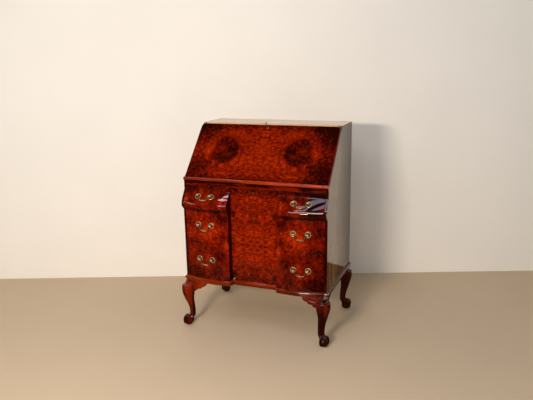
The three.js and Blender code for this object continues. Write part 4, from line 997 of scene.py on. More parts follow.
class BUREAU_OT_case(bpy.types.Operator):
    """Make the sides, the top, the nosing and the lopers"""
    bl_idname = "bureau.case"
    bl_label = "Case"

    def execute(self, context):
        for word, sign in SIDES:
            side = raw_object("board_" + word, drawn_across(side_outline(), sign * OPENING_HALF, sign * HALF))
            ease_edges(side, sizes().arris, 2)
            join(side, raw_object("inside_" + word, drawn_across(
                side_outline(inner=True), sign * INNER_HALF, sign * (OPENING_HALF + LAP_OVER))))
            finish_piece(side, "carcass", "side_veneer edge_dark nosing_wood", ["side_" + word],
                         35, flat=True)
            paint_edges(side, 1, 2)

        lap = CASE_TOP - TOP_LAP
        top = raw_object("top", sloped_board(lap, CASE_TOP, HALF))
        ease_edges(top, TOP_ARRIS, 3)
        join(top, raw_object("top_under", sloped_board(
            CASE_TOP - TOP_THICKNESS, lap + LAP_OVER, INNER_HALF - CLEARANCE)))
        finish_piece(top, "carcass", "top_veneer", ["top_board"], flat=True)

        low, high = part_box("nosing")
        outline = [(high.y, low.z), (FACE, low.z), *nose_outline(low.z)]
        outline += [(seat_y(WRITING_LEVEL), WRITING_LEVEL), (high.y, WRITING_LEVEL)]
        nosing = raw_object("nosing_round", drawn_across(outline, low.x, high.x))
        ease_edges(nosing, 0.0002, 1, 60)
        finish_piece(nosing, "carcass", "nosing_wood", ["nosing"], flat=True)

        for word, _ in SIDES:
            low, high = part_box("loper_" + word)
            loper = raw_object("slide_" + word, block(low.x, high.x, low.y, high.y, low.z, high.z))
            ease_edges(loper, TOP_ARRIS, 3)
            finish_piece(loper, "loper_" + word, "frieze_veneer", ["loper_" + word], flat=True)

        repaint("frieze_veneer", "frieze_rail")
        return {"FINISHED"}


def moulding_rows():
    """Rows of the base moulding: heights, and how far it stands out there."""
    table = [(1, 0.42), (0.96, 0.44), (0.84, 0.44), (0.78, 0.42), (0.76, 0.30), (0.74, 0.25), (0.70, 0.235),
             (0.66, 0.25)]
    table += [(0.345 - 0.305 * math.sin(a), 0.30 + 0.70 * math.cos(a))
              for a in np.linspace(-0.42 * math.pi, 0.5 * math.pi, 15)]
    table.append((0, 0.2))
    height = CASE_FLOOR - LEG_TOP
    return [(CASE_FLOOR - height * down, sizes().moulding_projection * out) for down, out in table]


class BUREAU_OT_base(bpy.types.Operator):
    """Make the base moulding round the front and the sides"""
    bl_idname = "bureau.base"
    bl_label = "Base moulding"

    def execute(self, context):
        s = sizes()
        rows = moulding_rows()
        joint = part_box("base_moulding_front")[1].y
        stations = plan_stations(OPENING_HALF)
        depth = eased_depth(stations)
        corner = s.block_inner + 0.001
        inward = np.where(np.abs(stations) < corner, -np.sign(stations) * np.clip(
            (corner - np.abs(stations)) / 0.004, 0, 1), 0)
        rings = []
        for z, out in rows:
            front, end = FACE - s.block_depth_outer - out, HALF + out
            rings.append([(-end, joint, z), (-end, front, z)] + [
                (x + d * out, FACE - b - out, z) for x, b, d in zip(stations, depth, inward)] + [
                (end, front, z), (end, joint, z)])
        front = raw_object("moulding_front", loft(rings))
        finish_piece(front, "carcass", "base_across", ["base_moulding_front"], 50)
        for word, sign in SIDES:
            low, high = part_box("base_moulding_" + word)
            inner = low.x if sign > 0 else high.x
            side = raw_object("moulding_" + word, loft([
                [(inner, low.y, z), (sign * (HALF + out), low.y, z), (sign * (HALF + out), high.y, z),
                 (inner, high.y, z)] for z, out in rows]))
            finish_piece(side, "carcass", "base_deep", ["base_moulding_" + word], 50)
        return {"FINISHED"}


# The fall

# Seats of a hinge in the fall: span across from its arm's face, span up the slope, and depth; no depth is right
# through
HINGE_SEATS = (
    (-0.0033, 0.0003, -0.005, 0.0123, None), (-0.0203, -0.0032, -0.005, 0.0403, 0.0023),
    (-0.0034, 0.0003, 0.012, 0.0403, 0.0023),
)
LOCK_DEEP = 0.010
OVERCUT = 0.005


def fall_ring(inset, level):
    """Outline of the fall at a level, with its upper corners rounded."""
    half = HALF - inset
    radius = max(sizes().fall_corner - inset, 0.001)
    top = FALL_LENGTH - inset - radius
    ring = [(-half, 0, level), (half, 0, level)]
    for middle, start in ((half - radius, 0), (radius - half, math.pi / 2)):
        ring += [(middle + radius * math.cos(a), top + radius * math.sin(a), level)
                 for a in start + np.linspace(0, math.pi / 2, 13)]
    return ring


class BUREAU_OT_fall(bpy.types.Operator):
    """Make the sloping fall with its thumb moulding"""
    bl_idname = "bureau.fall"
    bl_label = "Fall"

    def execute(self, context):
        s = sizes()
        inside, edge = -s.fall_thickness, 0.0005
        rings = [fall_ring(edge, inside), fall_ring(0, inside + edge)]
        climb = s.rim_depth - s.field_rise
        rings += [fall_ring(s.rim_width * (1 - math.cos(a)), climb * math.sin(a) - s.rim_depth)
                  for a in np.linspace(0, math.pi / 2, 9)]
        rings += [fall_ring(s.rim_width, -edge), fall_ring(s.rim_width + edge, 0)]
        fall = raw_object("slope", loft(rings))
        half, below_face, bore = LOCK_HALF + CLEARANCE, inside - OVERCUT, TUBE_RADIUS + CLEARANCE
        cuts = [block(-half, half, LOCK_LOW - CLEARANCE, LOCK_HIGH + CLEARANCE, below_face,
                      inside + LOCK_DEEP + CLEARANCE)]
        through = (FALL_FRAME.inverted() @ PIVOT).z + OVERCUT
        for _, sign in SIDES:
            for start, stop, low, high, depth in HINGE_SEATS:
                x0, x1 = sorted((sign * (ARM_FACE + start), sign * (ARM_FACE + stop)))
                cuts.append(block(x0, x1, low, high, below_face, inside + depth if depth else through))
        key_bore = turned([(0, inside), (bore, inside), (bore, OVERCUT), (0, OVERCUT)], 24)
        for cut in cuts + [moved(key_bore, Matrix.Translation((0, KEY_UP, 0)))]:
            cut_away(fall, cut)
        fall.data.transform(FALL_FRAME)
        fall.data.update()
        finish_piece(fall, "fall", "burr_fall lining rim_wood", ["fall"], 35, flat=True)
        to_fall, lining, rim = FALL_FRAME.inverted(), 1, 2
        for face in fall.data.polygons:
            x, up, _ = to_fall @ face.center
            if (to_fall.to_3x3() @ face.normal).z < -0.9:
                face.material_index = lining
            elif max(abs(x) - HALF, up - FALL_LENGTH) > -s.rim_width - 0.0001 and up > 0.002:
                face.material_index = rim
        return {"FINISHED"}


# Handles

# Shares of a front's height at which its handles hang, and of a block's width
HANDLE_DOWN = {"upper": 0.28, "middle": 0.42, "lower": 0.448}
HANDLE_ACROSS = 0.528
# Rise of the bulge where the handles sit: its share of the depth, and steps of depth and height for its slope
BULGE_SEAT, BULGE_RUN, BULGE_CLIMB = 0.487, 0.71 - 0.15, 0.41 - 0.09
UPPER_BAIL_LEAN = math.radians(13)

# Turned rose and post: shares of the rose's radius, and of the eye's height
ROSE_SHARES = [
    (0, -0.1), (0.97, -0.1), (0.985, 0), (1, 0.05), (0.99, 0.15), (0.95, 0.21), (0.89, 0.22), (0.84, 0.19),
    (0.80, 0.12), (0.76, 0.06), (0.70, 0.04), (0.62, 0.05), (0.55, 0.08), (0.50, 0.13), (0.45, 0.15),
    (0.39, 0.18), (0.32, 0.26), (0.26, 0.36), (0.235, 0.48), (0.24, 0.60), (0.27, 0.66), (0.285, 0.72),
    (0.30, 0.78), (0.32, 0.88), (0.33, 1.0), (0.32, 1.12), (0.28, 1.22), (0.21, 1.31), (0.11, 1.38), (0, 1.4),
]

# Swan-neck bail: shares of half the post spacing, of its drop, and of the pin's radius
BAIL_SHARES = np.array([
    (1.09, 0, 0.7), (1.08, 0, 1.1), (1.05, 0, 1.15), (1.03, 0, 1), (0.97, 0, 1), (0.82, 0, 1),
    (0.765, 0.05, 1.05), (0.738, 0.2, 1.05), (0.728, 0.42, 1.05), (0.665, 0.66, 1.1), (0.48, 0.87, 1.15),
    (0.30, 0.965, 1.3), (0.17, 0.99, 1.2), (0, 1, 1.2),
])

# Beads of a bail: places along it, widths, and rises
BEAD_SHARES = [(0.0, 0.06, 0.85), (0.15, 0.04, 0.55), (0.27, 0.035, 0.4), (0.42, 0.035, 0.6)]


def handle_frame(name, sign):
    """A handle's own frame: local y stands out of the face, local z runs down it."""
    s, h = sizes(), handles()
    place = s.block_inner + (OPENING_HALF - s.block_inner) * HANDLE_ACROSS
    if name == "upper":
        tall = BULGE_TOP - BULGE_FOOT
        z, share, nose = BULGE_TOP - tall * HANDLE_DOWN[name], BULGE_SEAT, s.bulge_nose * BULGE_SEAT
        tilt = math.atan2((float(block_depth(place)) + s.bulge_nose) * BULGE_RUN, tall * BULGE_CLIMB)
    else:
        low, high = LEVELS[name]
        z, share, nose, tilt = high - (high - low) * HANDLE_DOWN[name], 1, 0, 0
    near, far = (float(block_depth(place + d * h.post_spacing / 2)) * share + nose for d in (-1, 1))
    turn = Matrix.Rotation(sign * math.atan2(near - far, h.post_spacing), 4, "Z")
    lean = Matrix.Rotation(math.pi - tilt, 4, "X")
    return Matrix.Translation((sign * place, FACE - (near + far) / 2 + 0.0014, z)) @ turn @ lean


def bail_path():
    """Points of a bail from pin to pin, its radius there, and how much painted shade it takes."""
    h = handles()
    step = np.diff(BAIL_SHARES[:, :2] * (h.post_spacing / 2, h.drop), axis=0)
    run = np.concatenate([[0], np.cumsum(np.hypot(*step.T))])
    at = np.linspace(0, run[-1], 70)
    along, down, radius = (smooth_through(run, BAIL_SHARES[:, i], at) for i in range(3))
    for centre, width, rise in BEAD_SHARES:
        radius = radius + rise * np.exp(-((along - centre) / width) ** 2) * (down > 0.8)
    left = np.stack([-along * h.post_spacing / 2, np.full_like(at, h.eye_height), down * h.drop], -1)
    # Painted shade: the bail darkens where it is thin between its beads, and not along its pins.
    toned = np.clip(0.75 - (radius - 1.3) * 2.2, 0, 0.75) * (down > 0.05)
    path = np.vstack([left, left[-2::-1] * (-1, 1, 1)])
    return path, *(np.concatenate([v, v[-2::-1]]) for v in (radius * h.wire, toned))


def new_tree(name, **inputs):
    """An empty tree of geometry nodes with named inputs, and its first and last node."""
    tree = bpy.data.node_groups.new(name, "GeometryNodeTree")
    tree.interface.new_socket("Geometry", in_out="INPUT", socket_type="NodeSocketGeometry")
    for label, default in inputs.items():
        kind = "NodeSocketInt" if isinstance(default, int) else "NodeSocketFloat"
        tree.interface.new_socket(label, in_out="INPUT", socket_type=kind).default_value = default
    tree.interface.new_socket("Geometry", in_out="OUTPUT", socket_type="NodeSocketGeometry")
    return tree, tree.nodes.new("NodeGroupInput").outputs, tree.nodes.new("NodeGroupOutput")


def stored_value(tree, name, kind):
    return node(tree, "GeometryNodeInputNamedAttribute", {"Name": name}, data_type=kind).outputs[0]


def end_tree(tree, last, geometry, material):
    """Ends a tree with real geometry in a finish."""
    real = node(tree, "GeometryNodeRealizeInstances", {"Geometry": geometry})
    painted = node(tree, "GeometryNodeSetMaterial", {"Geometry": real.outputs[0], "Material": material})
    tree.links.new(painted.outputs[0], last.inputs[0])
    return tree


def bail_tree(material):
    """Geometry nodes that run a round bar along a path, with its radius stored on the points."""
    tree, given, last = new_tree("bar_along_path", Sides=16)
    curve = node(tree, "GeometryNodeMeshToCurve", {"Mesh": given["Geometry"]})
    circle = node(tree, "GeometryNodeCurvePrimitiveCircle", {"Resolution": given["Sides"], "Radius": 1.0},
                  mode="RADIUS")
    bar = node(tree, "GeometryNodeCurveToMesh", {
        "Curve": curve.outputs[0], "Profile Curve": circle.outputs[0], "Fill Caps": True,
        "Scale": stored_value(tree, "bail_radius", "FLOAT")})
    return end_tree(tree, last, bar.outputs[0], material)


def scatter_tree(name, source, material):
    """Geometry nodes that set one shape on each point, turned as the point says and then spun at random."""
    tree, given, last = new_tree(name, Size=1.0, Spin=0.0, Seed=4)
    shape = node(tree, "GeometryNodeObjectInfo", {"Object": source}, transform_space="ORIGINAL")
    spots = node(tree, "GeometryNodeInstanceOnPoints", {
        "Points": given["Geometry"], "Instance": shape.outputs["Geometry"],
        "Rotation": stored_value(tree, "turn", "FLOAT_VECTOR"), "Scale": given["Size"]})
    chance = node(tree, "FunctionNodeRandomValue", {2: 0.0, 3: given["Spin"], 8: given["Seed"]},
                  data_type="FLOAT")
    spin = node(tree, "ShaderNodeCombineXYZ", {2: chance.outputs[1]})
    spun = node(tree, "GeometryNodeRotateInstances", {
        "Instances": spots.outputs[0], "Rotation": spin.outputs[0], "Local Space": True})
    return end_tree(tree, last, spun.outputs[0], material)


def run_tree(obj, tree, **inputs):
    """Runs a tree on an object, with its inputs set by their sockets' identifiers, and keeps the mesh."""
    modifier = obj.modifiers.new(tree.name, "NODES")
    modifier.node_group = tree
    sockets = {item.name: item.identifier for item in tree.interface.items_tree if item.in_out == "INPUT"}
    for name, value in inputs.items():
        modifier[sockets[name]] = value
    settle(obj)


def scattered(name, shells, frames, look, spin=0.0, hollow=None):
    """A mesh with one copy of a shape in each frame."""
    source = raw_object(name + "_one", *shells)
    if hollow is not None:
        store(source.data, "hollow", hollow)
    mesh = bpy.data.meshes.new(name)
    mesh.from_pydata([m.translation[:] for m in frames], [], [])
    turn = mesh.attributes.new("turn", "FLOAT_VECTOR", "POINT")
    turn.data.foreach_set("vector", [c for m in frames for c in m.to_euler("XYZ")[:]])
    made = new_object(name, mesh)
    run_tree(made, scatter_tree(name + "_tree", source, FINISHES[look]), Spin=spin)
    discard(source)
    return made


class BUREAU_OT_handles(bpy.types.Operator):
    """Make the roses, posts and swan-neck bails"""
    bl_idname = "bureau.handles"
    bl_label = "Handles"

    def execute(self, context):
        h = handles()
        profile = [(r * h.rose_radius, z * h.eye_height) for r, z in ROSE_SHARES]
        rose = moved(turned(profile, 36), Matrix.Rotation(-math.pi / 2, 4, "X"))
        radius = np.hypot(rose[0][:, 0], rose[0][:, 2]) / h.rose_radius
        rise = np.abs(rose[0][:, 1]) / h.eye_height
        # Painted shade stored on the rose's points: in its groove, and round the foot of its post.
        groove = np.clip(1.5 - np.abs(radius - 0.63) / 0.16, 0, 1) * (rise < 0.3)
        hollow = groove + 0.9 * (radius < 0.4) * (rise < 0.6)
        path, radii, toned = bail_path()
        steps = [(i, i + 1) for i in range(len(path) - 1)]
        tree = bail_tree(FINISHES["aged_brass"])
        eye = Matrix.Translation((0, h.eye_height, 0))
        for name in LEVELS:
            seats = {word: handle_frame(name, sign) for word, sign in SIDES}
            frames = [seat @ Matrix.Translation((place, 0, 0)) for seat in seats.values()
                      for place in (-h.post_spacing / 2, h.post_spacing / 2)]
            roses = scattered("roses_" + name, [rose], frames, "aged_brass", hollow=hollow)
            finish_piece(roses, "drawer_" + name, "aged_brass", [
                f"rose_{name}_{word}_{end}" for word in seats for end in ("inner", "outer")], 50)
            lean = Matrix.Rotation(UPPER_BAIL_LEAN if name == "upper" else 0, 4, "X")
            for word, seat in seats.items():
                place = seat @ eye @ lean @ eye.inverted()
                mesh = bpy.data.meshes.new(f"swan_{name}_{word}")
                mesh.from_pydata([place @ Vector(p) for p in path], steps, [])
                store(mesh, "bail_radius", radii)
                store(mesh, "hollow", toned)
                bail = new_object(mesh.name, mesh)
                run_tree(bail, tree, Sides=16)
                piece = f"bail_{name}_{word}"
                finish_piece(bail, piece, "aged_brass", [piece], 60)
        return {"FINISHED"}


# Legs

# Shares of the leg's height, its swing, the knee's radius, and the width across
LEG_SHARES = np.array([
    (0.10, 0.86, 0.50, 1.0), (0.154, 0.7, 0.56, 1.0), (0.184, 0.34, 0.52, 1.08), (0.218, 0.08, 0.475, 1.16),
    (0.274, 0, 0.45, 1.22), (0.346, 0.05, 0.465, 1.24), (0.427, 0.16, 0.505, 1.2), (0.517, 0.38, 0.59, 1.12),
    (0.628, 0.62, 0.73, 1.05), (0.731, 0.7, 0.9, 1.06), (0.812, 0.73, 0.97, 1.1), (0.885, 0.69, 0.98, 1.1),
    (0.914, 0.67, 0.98, 1.08), (0.926, 0.63, 0.95, 1.04), (0.933, 0.45, 0.78, 1), (0.945, 0.36, 0.70, 1),
    (0.9985, 0.33, 0.68, 1),
])

# Claws from the ankle down: shares of the ball's radius outwards, upwards, and for their thickness
TOE_SHARES = np.array([
    (0.30, 2.14, 0.34), (0.58, 2.08, 0.31), (0.80, 1.90, 0.33), (0.92, 1.68, 0.26), (1.01, 1.42, 0.30),
    (1.04, 1.15, 0.22), (1.04, 0.92, 0.25), (1.01, 0.66, 0.18), (0.96, 0.42, 0.13), (0.88, 0.24, 0.07),
])
TOE_TURNS = (0, 74, -74, 180)

# Ears: shares of their length, and of their drop
EAR_SHARES = np.array([
    (0, 1.5), (0.09, 1.36), (0.19, 1), (0.275, 0.84), (0.39, 0.88), (0.49, 0.72), (0.567, 0.58),
    (0.676, 0.58), (0.74, 0.36), (0.87, 0.3), (1, 0.04),
])

# Rounding of an ear's edges: shares of its half thickness, and how far it is drawn in there
EAR_EDGES = ((-1, 0.0028), (-0.9, 0.0010), (-0.6, 0.0), (0.6, 0.0), (0.9, 0.0010), (1, 0.0028))
EAR_BAND = 0.008
EAR_LEAST = 0.0004
# The ear's raised piece and its ground: half thickness, and the share of the length that each keeps
EAR_ROLL, EAR_GROUND = (0.012, 1.0), (0.0085, 0.94)
ROLL_DROP, ROLL_RISE, ROLL_START, ROLL_SPAN, ROLL_CURVE = 0.0185, 0.0165, 0.42, 0.5, 1.8
EAR_ROOT = 0.55

LEG_END = 0.9985
LEG_IN, LEG_FRONT, LEG_BACK = 0.008, 0.035, 0.0145
BALL_SUNK = 0.0015


def ear_shells():
    """The ear beside a knee: a thin ground with a raised, rolled piece on it."""
    g = legs()
    top = LEG_TOP * LEG_END
    along = np.linspace(0, 1, 42)
    lower = top - EAR_BAND - smooth_through(EAR_SHARES[:, 0], EAR_SHARES[:, 1], along) * (g.ear_drop - EAR_BAND)
    rolled = top - ROLL_DROP + ROLL_RISE * np.clip((along - ROLL_START) / ROLL_SPAN, 0, 1) ** ROLL_CURVE
    shells = []
    for (half, kept), upper in ((EAR_ROLL, rolled), (EAR_GROUND, np.full_like(along, top))):
        keep = along <= kept + 1e-9
        x, low, high = along[keep] * g.ear_length, lower[keep], upper[keep]
        rings = []
        for across, inset in EAR_EDGES:
            y = across * half
            under = [(a, y, min(z + inset, t - inset - EAR_LEAST)) for a, z, t in zip(x, low, high)]
            rings.append(under + [(a, y, t - inset) for a, t in zip(x[::-1], high[::-1])])
        shells.append(loft(rings))
    return shells


def leg_ring(height):
    """Outline of a leg at a share of its height, about the foot's middle."""
    g = legs()
    swing, radius, across = (
        float(smooth_through(LEG_SHARES[:, 0], LEG_SHARES[:, i], height)) for i in (1, 2, 3))
    centre = g.swing * (swing - 1) * math.sqrt(0.5)
    squared = 2 + 0.6 * float(np.clip((height - 0.4) / 0.3, 0, 1))
    ring = []
    for a in once_round(44) + math.pi / 4:
        c, s = math.cos(a), math.sin(a)
        reach = radius * g.knee / (abs(c) ** squared + abs(s) ** squared) ** (1 / squared)
        wider = (across - 1) * (c + s) / 2
        ring.append((centre + reach * (c + wider), -centre + reach * (s + wider), height * LEG_TOP))
    return ring


def cut_level(build, height, up):
    """Cuts a mesh off level at a height, and closes it."""
    cut = bmesh.ops.bisect_plane(build, geom=build.verts[:] + build.edges[:] + build.faces[:],
                                 plane_co=(0, 0, height), plane_no=(0, 0, up), clear_outer=True)
    rim = [e for e in cut["geom_cut"] if isinstance(e, bmesh.types.BMEdge)]
    if rim:
        bmesh.ops.holes_fill(build, edges=rim)


def leg_mesh():
    """A cabriole leg with ears, ball and claws, carved out of one skin, for the front right corner."""
    g = legs()
    heights = np.concatenate([np.linspace(0.10, 0.9, 44), np.linspace(0.905, 0.95, 12), [LEG_END]])
    shells = [loft([leg_ring(height) for height in heights])]
    ball = [(g.ball * math.cos(a), g.ball * math.sin(a) + g.ball - BALL_SUNK)
            for a in np.linspace(-math.pi / 2, math.pi / 2, 25)]
    ball[0], ball[-1] = (0, ball[0][1]), (0, ball[-1][1])
    shells.append(turned(ball, 48))
    steps = np.linspace(0, 1, len(TOE_SHARES))
    out, up, thick = (smooth_through(steps, TOE_SHARES[:, i], np.linspace(0, 1, 34)) * g.ball for i in range(3))
    for degrees in TOE_TURNS:
        turn = math.radians(degrees) - math.pi / 4
        path = np.stack([np.cos(turn) * out, np.sin(turn) * out, up], -1)
        shells.append(bar_along(path, thick, 12, (-math.sin(turn), math.cos(turn), 0)))
    root = g.swing * (EAR_ROOT - 1) * math.sqrt(0.5)
    for degrees, longer in ((180, 1), (90, 1.1)):
        turn = Matrix.Rotation(math.radians(degrees), 4, "Z")
        place = Matrix.Translation((root, -root, 0)) @ turn @ Matrix.Diagonal((longer, 1, 1, 1))
        shells += [moved(ear, place) for ear in ear_shells()]
    made = raw_object("leg_skin", *shells)
    remesh = made.modifiers.new("skin", "REMESH")
    remesh.mode = "VOXEL"
    remesh.voxel_size = g.grain
    remesh.adaptivity = 0
    smooth = made.modifiers.new("soft", "SMOOTH")
    smooth.factor = 0.5
    smooth.iterations = 2
    settle(made)
    build = bmesh.new()
    build.from_mesh(made.data)
    cut_level(build, 0, -1)
    cut_level(build, LEG_TOP - CLEARANCE, 1)
    build.to_mesh(made.data)
    build.free()
    return made


class BUREAU_OT_legs(bpy.types.Operator):
    """Make the four cabriole legs"""
    bl_idname = "bureau.legs"
    bl_label = "Legs"

    def execute(self, context):
        pattern = leg_mesh()
        for end, y, facing, look in (("front", FACE - LEG_FRONT, 1, "leg_wood"),
                                     ("back", CASE_BACK - LEG_BACK, -1, "back_leg_wood")):
            for word, sign in SIDES:
                leg = new_object(f"cabriole_{end}_{word}", pattern.data.copy())
                leg.data.transform(
                    Matrix.Translation((sign * (HALF - LEG_IN), y, 0)) @ Matrix.Diagonal((sign, facing, 1, 1)))
                if sign * facing < 0:
                    leg.data.flip_normals()
                name = f"leg_{end}_{word}"
                keep_inside(leg, name)
                finish_piece(leg, "carcass", look, [name], 60)
        discard(pattern)
        return {"FINISHED"}


# Locks, key, screws and inner pieces

# The key's shank and collar: radii and heights
SHANK = [
    (0, -0.0137), (0.0021, -0.0137), (0.0021, 0.004), (0.0027, 0.0048), (0.0027, 0.0056), (0.0021, 0.0064),
    (0.0021, 0.018), (0.0031, 0.0190), (0.0033, 0.0203), (0.0031, 0.0216), (0.0023, 0.0226), (0.0023, 0.0245),
    (0, 0.0252),
]
BOW_RADIUS, BOW_FOOT, BOW_WIDE, BOW_THICK = 0.0073, 0.024, 0.0019, 0.0015
KEYHOLE_DEEP = 0.012

# Screws: distances up the fall, in from the edges of a lock's case and of the back, and sizes of a head
HINGE_SCREWS_UP, LOCK_SCREWS_UP = (0.0185, 0.0335), (0.2795, 0.3045)
LOCK_SCREW_IN, BACK_SCREW_IN = 0.0045, 0.012
HEAD_RISE, HEAD_SLOT = 0.00035, 0.0006


def keyhole_outline(z):
    """A round hole over a slot, about a height."""
    ring = [(0.0019 * math.cos(a), z + 0.0010 + 0.0019 * math.sin(a))
            for a in np.linspace(-0.3 * math.pi, 1.3 * math.pi, 15)]
    return ring + [(-0.0013, z - 0.0040), (0.0013, z - 0.0040)]


def key_bow(count=60):
    """The key's kidney-shaped bow, as a closed bar."""
    line = []
    for a in once_round(count):
        kidney = 1 - 0.12 * math.cos(2 * a) - 0.10 * math.exp(-((math.pi - abs(a - math.pi)) / 0.5) ** 2)
        line.append((0, BOW_RADIUS * kidney * math.sin(a), BOW_FOOT + BOW_RADIUS * (1 - 0.98 * math.cos(a))))
    line = np.array(line)
    rings = []
    for i in range(count):
        along = line[(i + 1) % count] - line[i - 1]
        side = np.cross((1, 0, 0), along / np.linalg.norm(along))
        rings.append([line[i] + BOW_WIDE * math.cos(a) * side + np.array((BOW_THICK * math.sin(a), 0, 0))
                      for a in once_round(12)])
    return loft(rings + rings[:1], caps=False)


class BUREAU_OT_locks(bpy.types.Operator):
    """Make the drawer locks with their keyholes, and the key in the fall"""
    bl_idname = "bureau.locks"
    bl_label = "Locks and key"

    def execute(self, context):
        for name, (_, top) in LEVELS.items():
            low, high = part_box("drawer_lock_" + name)
            key_z = top - KEY_DOWN
            lock = raw_object("lock_" + name, block(
                low.x, high.x, FACE + FRONT_THICKNESS + CLEARANCE, high.y, low.z, high.z))
            ease_edges(lock, 0.0005, 2)
            tube = raw_object("tube", round_hole(key_z, TUBE_RADIUS, FACE - CLEARANCE, FACE + 0.024, 36))
            cut_away(tube, drawn_back(keyhole_outline(key_z), FACE - 0.004, FACE + KEYHOLE_DEEP))
            join(lock, tube)
            finish_piece(lock, "drawer_" + name, "toned_brass keyhole_dark", ["drawer_lock_" + name])
            # The keyhole's walls inside the tube take the near-black finish: painted shade.
            for face in lock.data.polygons:
                x, y, z = face.center
                behind_face = 0.0004 < y - FACE < KEYHOLE_DEEP + 0.0005
                if behind_face and math.hypot(x, z - key_z) < TUBE_RADIUS - 0.0004:
                    face.material_index = 1

        place = FALL_FRAME @ Matrix.Translation((0, KEY_UP, 0))
        key = raw_object("key_turned", *(moved(shell, place) for shell in (turned(SHANK, 24), key_bow())))
        finish_piece(key, "key", "dark_steel", ["key"], 50)
        repaint("dark_steel", "lock_bolt")
        repaint("aged_brass", "fall_lock")
        repaint("toned_brass", "fall_hinge_left", "fall_hinge_right")
        return {"FINISHED"}


def screw_head(radius):
    """A slotted head: a thin disc with two halves standing on it."""
    shells = [turned([(0, -0.0006), (radius, -0.0006), (radius, 0.00006), (0, 0.00006)], 20)]
    reach = math.acos(HEAD_SLOT / 2 / radius)
    for sign in (-1, 1):
        arc = [(radius * math.cos(a), radius * math.sin(a)) for a in np.linspace(-reach, reach, 11)]
        shells.append(loft([
            [(sign * x, y, 0) for x, y in arc], [(sign * x, y, HEAD_RISE * 0.6) for x, y in arc],
            [(sign * max(x * 0.88, HEAD_SLOT / 2), y * 0.88, HEAD_RISE) for x, y in arc]]))
    return shells


def screws_at(y, spots):
    """Frames of screws driven in from behind."""
    turn = Matrix.Rotation(-math.pi / 2, 4, "X")
    return [Matrix.Translation((x, y, z)) @ turn for x, z in spots]


class BUREAU_OT_screws(bpy.types.Operator):
    """Drive the slotted screws of the hinges, the locks and the back"""
    bl_idname = "bureau.screws"
    bl_label = "Screws"

    def execute(self, context):
        s = sizes()
        behind = Matrix.Translation((0, 0, -s.fall_thickness)) @ Matrix.Rotation(math.pi, 4, "X")
        hinge, lock = ARM_FACE - 0.0125, LOCK_HALF - 0.0035
        on_fall = [(x, up) for x in (-hinge, hinge) for up in HINGE_SCREWS_UP]
        on_fall += [(x, up) for x in (-lock, lock) for up in LOCK_SCREWS_UP]
        groups = {"fall": [FALL_FRAME @ behind @ Matrix.Translation((x, -up, 0)) for x, up in on_fall]}
        for name in LEVELS:
            low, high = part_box("drawer_lock_" + name)
            groups["drawer_" + name] = screws_at(high.y, [
                (x, z) for x in (low.x + LOCK_SCREW_IN, high.x - LOCK_SCREW_IN)
                for z in (low.z + LOCK_SCREW_IN, high.z - LOCK_SCREW_IN)])
        low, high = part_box("back_panel")
        rows = np.linspace(low.z + BACK_SCREW_IN, high.z - BACK_SCREW_IN, 6)
        columns = np.linspace(low.x + BACK_SCREW_IN, high.x - BACK_SCREW_IN, 4)
        groups["carcass"] = screws_at(high.y, [(x, z) for x in columns[[0, -1]] for z in rows] + [
            (x, z) for x in columns[1:-1] for z in rows[[0, -1]]])
        head = screw_head(s.screw_radius)
        for body, frames in groups.items():
            screws = scattered("screws_" + body, head, frames, "toned_brass", spin=math.pi)
            finish_piece(screws, body, "toned_brass")
        return {"FINISHED"}


class BUREAU_OT_inside(bpy.types.Operator):
    """Finish the pieces inside and behind"""
    bl_idname = "bureau.inside"
    bl_label = "Inside"

    def execute(self, context):
        repaint("inner_across", "drawer_rail_upper", "drawer_rail_lower", "carcass_floor", "base_rail_back",
                "loper_shelf")
        repaint("inner_polished", "writing_board", "pigeonholes")
        repaint("inner_deep", "drawer_box_upper", "drawer_box_middle", "drawer_box_lower")
        repaint("inner_upright", "back_panel")
        repaint("top_veneer", "fall_rail")
        repaint("small_drawer_wood", "small_drawer_left", "small_drawer_right")
        repaint("aged_brass", "small_knob_left", "small_knob_right")
        return {"FINISHED"}


# Stage

CAMERA_PLACE = Vector((0.99848, -2.57586, 1.29764))
CAMERA_YAW, CAMERA_PITCH, CAMERA_ROLL = (math.radians(a) for a in (21.346, 13.692, -0.9))
CAMERA_LENS, CAMERA_SENSOR = 38.463, 36

COOL, WARM, FRONT_WARM = (0.84, 0.83, 1.0), (1, 0.95, 0.88), (1, 0.90, 0.78)
ALONG_X = (1, 0, 0)

# Lamps: name, place, point that it faces, its power and the share of it, colour, width, height, and the way of
# the width
LAMPS = (
    ("front", (-0.02, -3.0, 1.42), (0.02, 0, 0.5), "key_power", 1, FRONT_WARM, 0.50, 0.14, ALONG_X),
    ("ceiling_left", (-0.21, -1.4, 2.6), (-0.21, -1.0, 0.6), "strip_power", 36 / 78, COOL, 0.36, 1.05, ALONG_X),
    ("ceiling_right", (0.34, -1.40, 2.6), (0.34, -1.0, 0.6), "strip_power", 34 / 78, COOL, 0.34, 1.05, ALONG_X),
    ("near", (-0.462, -0.574, 1.5), (-0.462, -0.574, 0), "near_power", 1, COOL, 0.07, 0.15, (0.777, 0.629, 0)),
    ("window", (0.31, -3.3, 2.48), (0.31, 0, 2.48), "window_power", 1.2, WARM, 2.1, 0.30, (0.79, 0, -0.61)),
    ("window_left", (-0.95, -3.3, 2.62), (0, 0, 0.6), "window_power", 0.2, WARM, 0.6, 0.35, ALONG_X),
    ("window_far", (-4.6, -3.3, 2.3), (-0.3, 0, 0.6), "window_power", 0.35, WARM, 1.8, 0.35, ALONG_X),
    ("edge", (-0.48, -2.7, 2.6), (-0.48, -2.7, 0), "window_power", 0.22, WARM, 0.11, 1.6, ALONG_X),
)

# A point at the foot of the wall, and how far the sheets reach
WALL_POINT = Vector((0.375, 0.78, 0))
ROOM_HALF, ROOM_DEEP, ROOM_TALL = 4.2, 1.5, 3.2
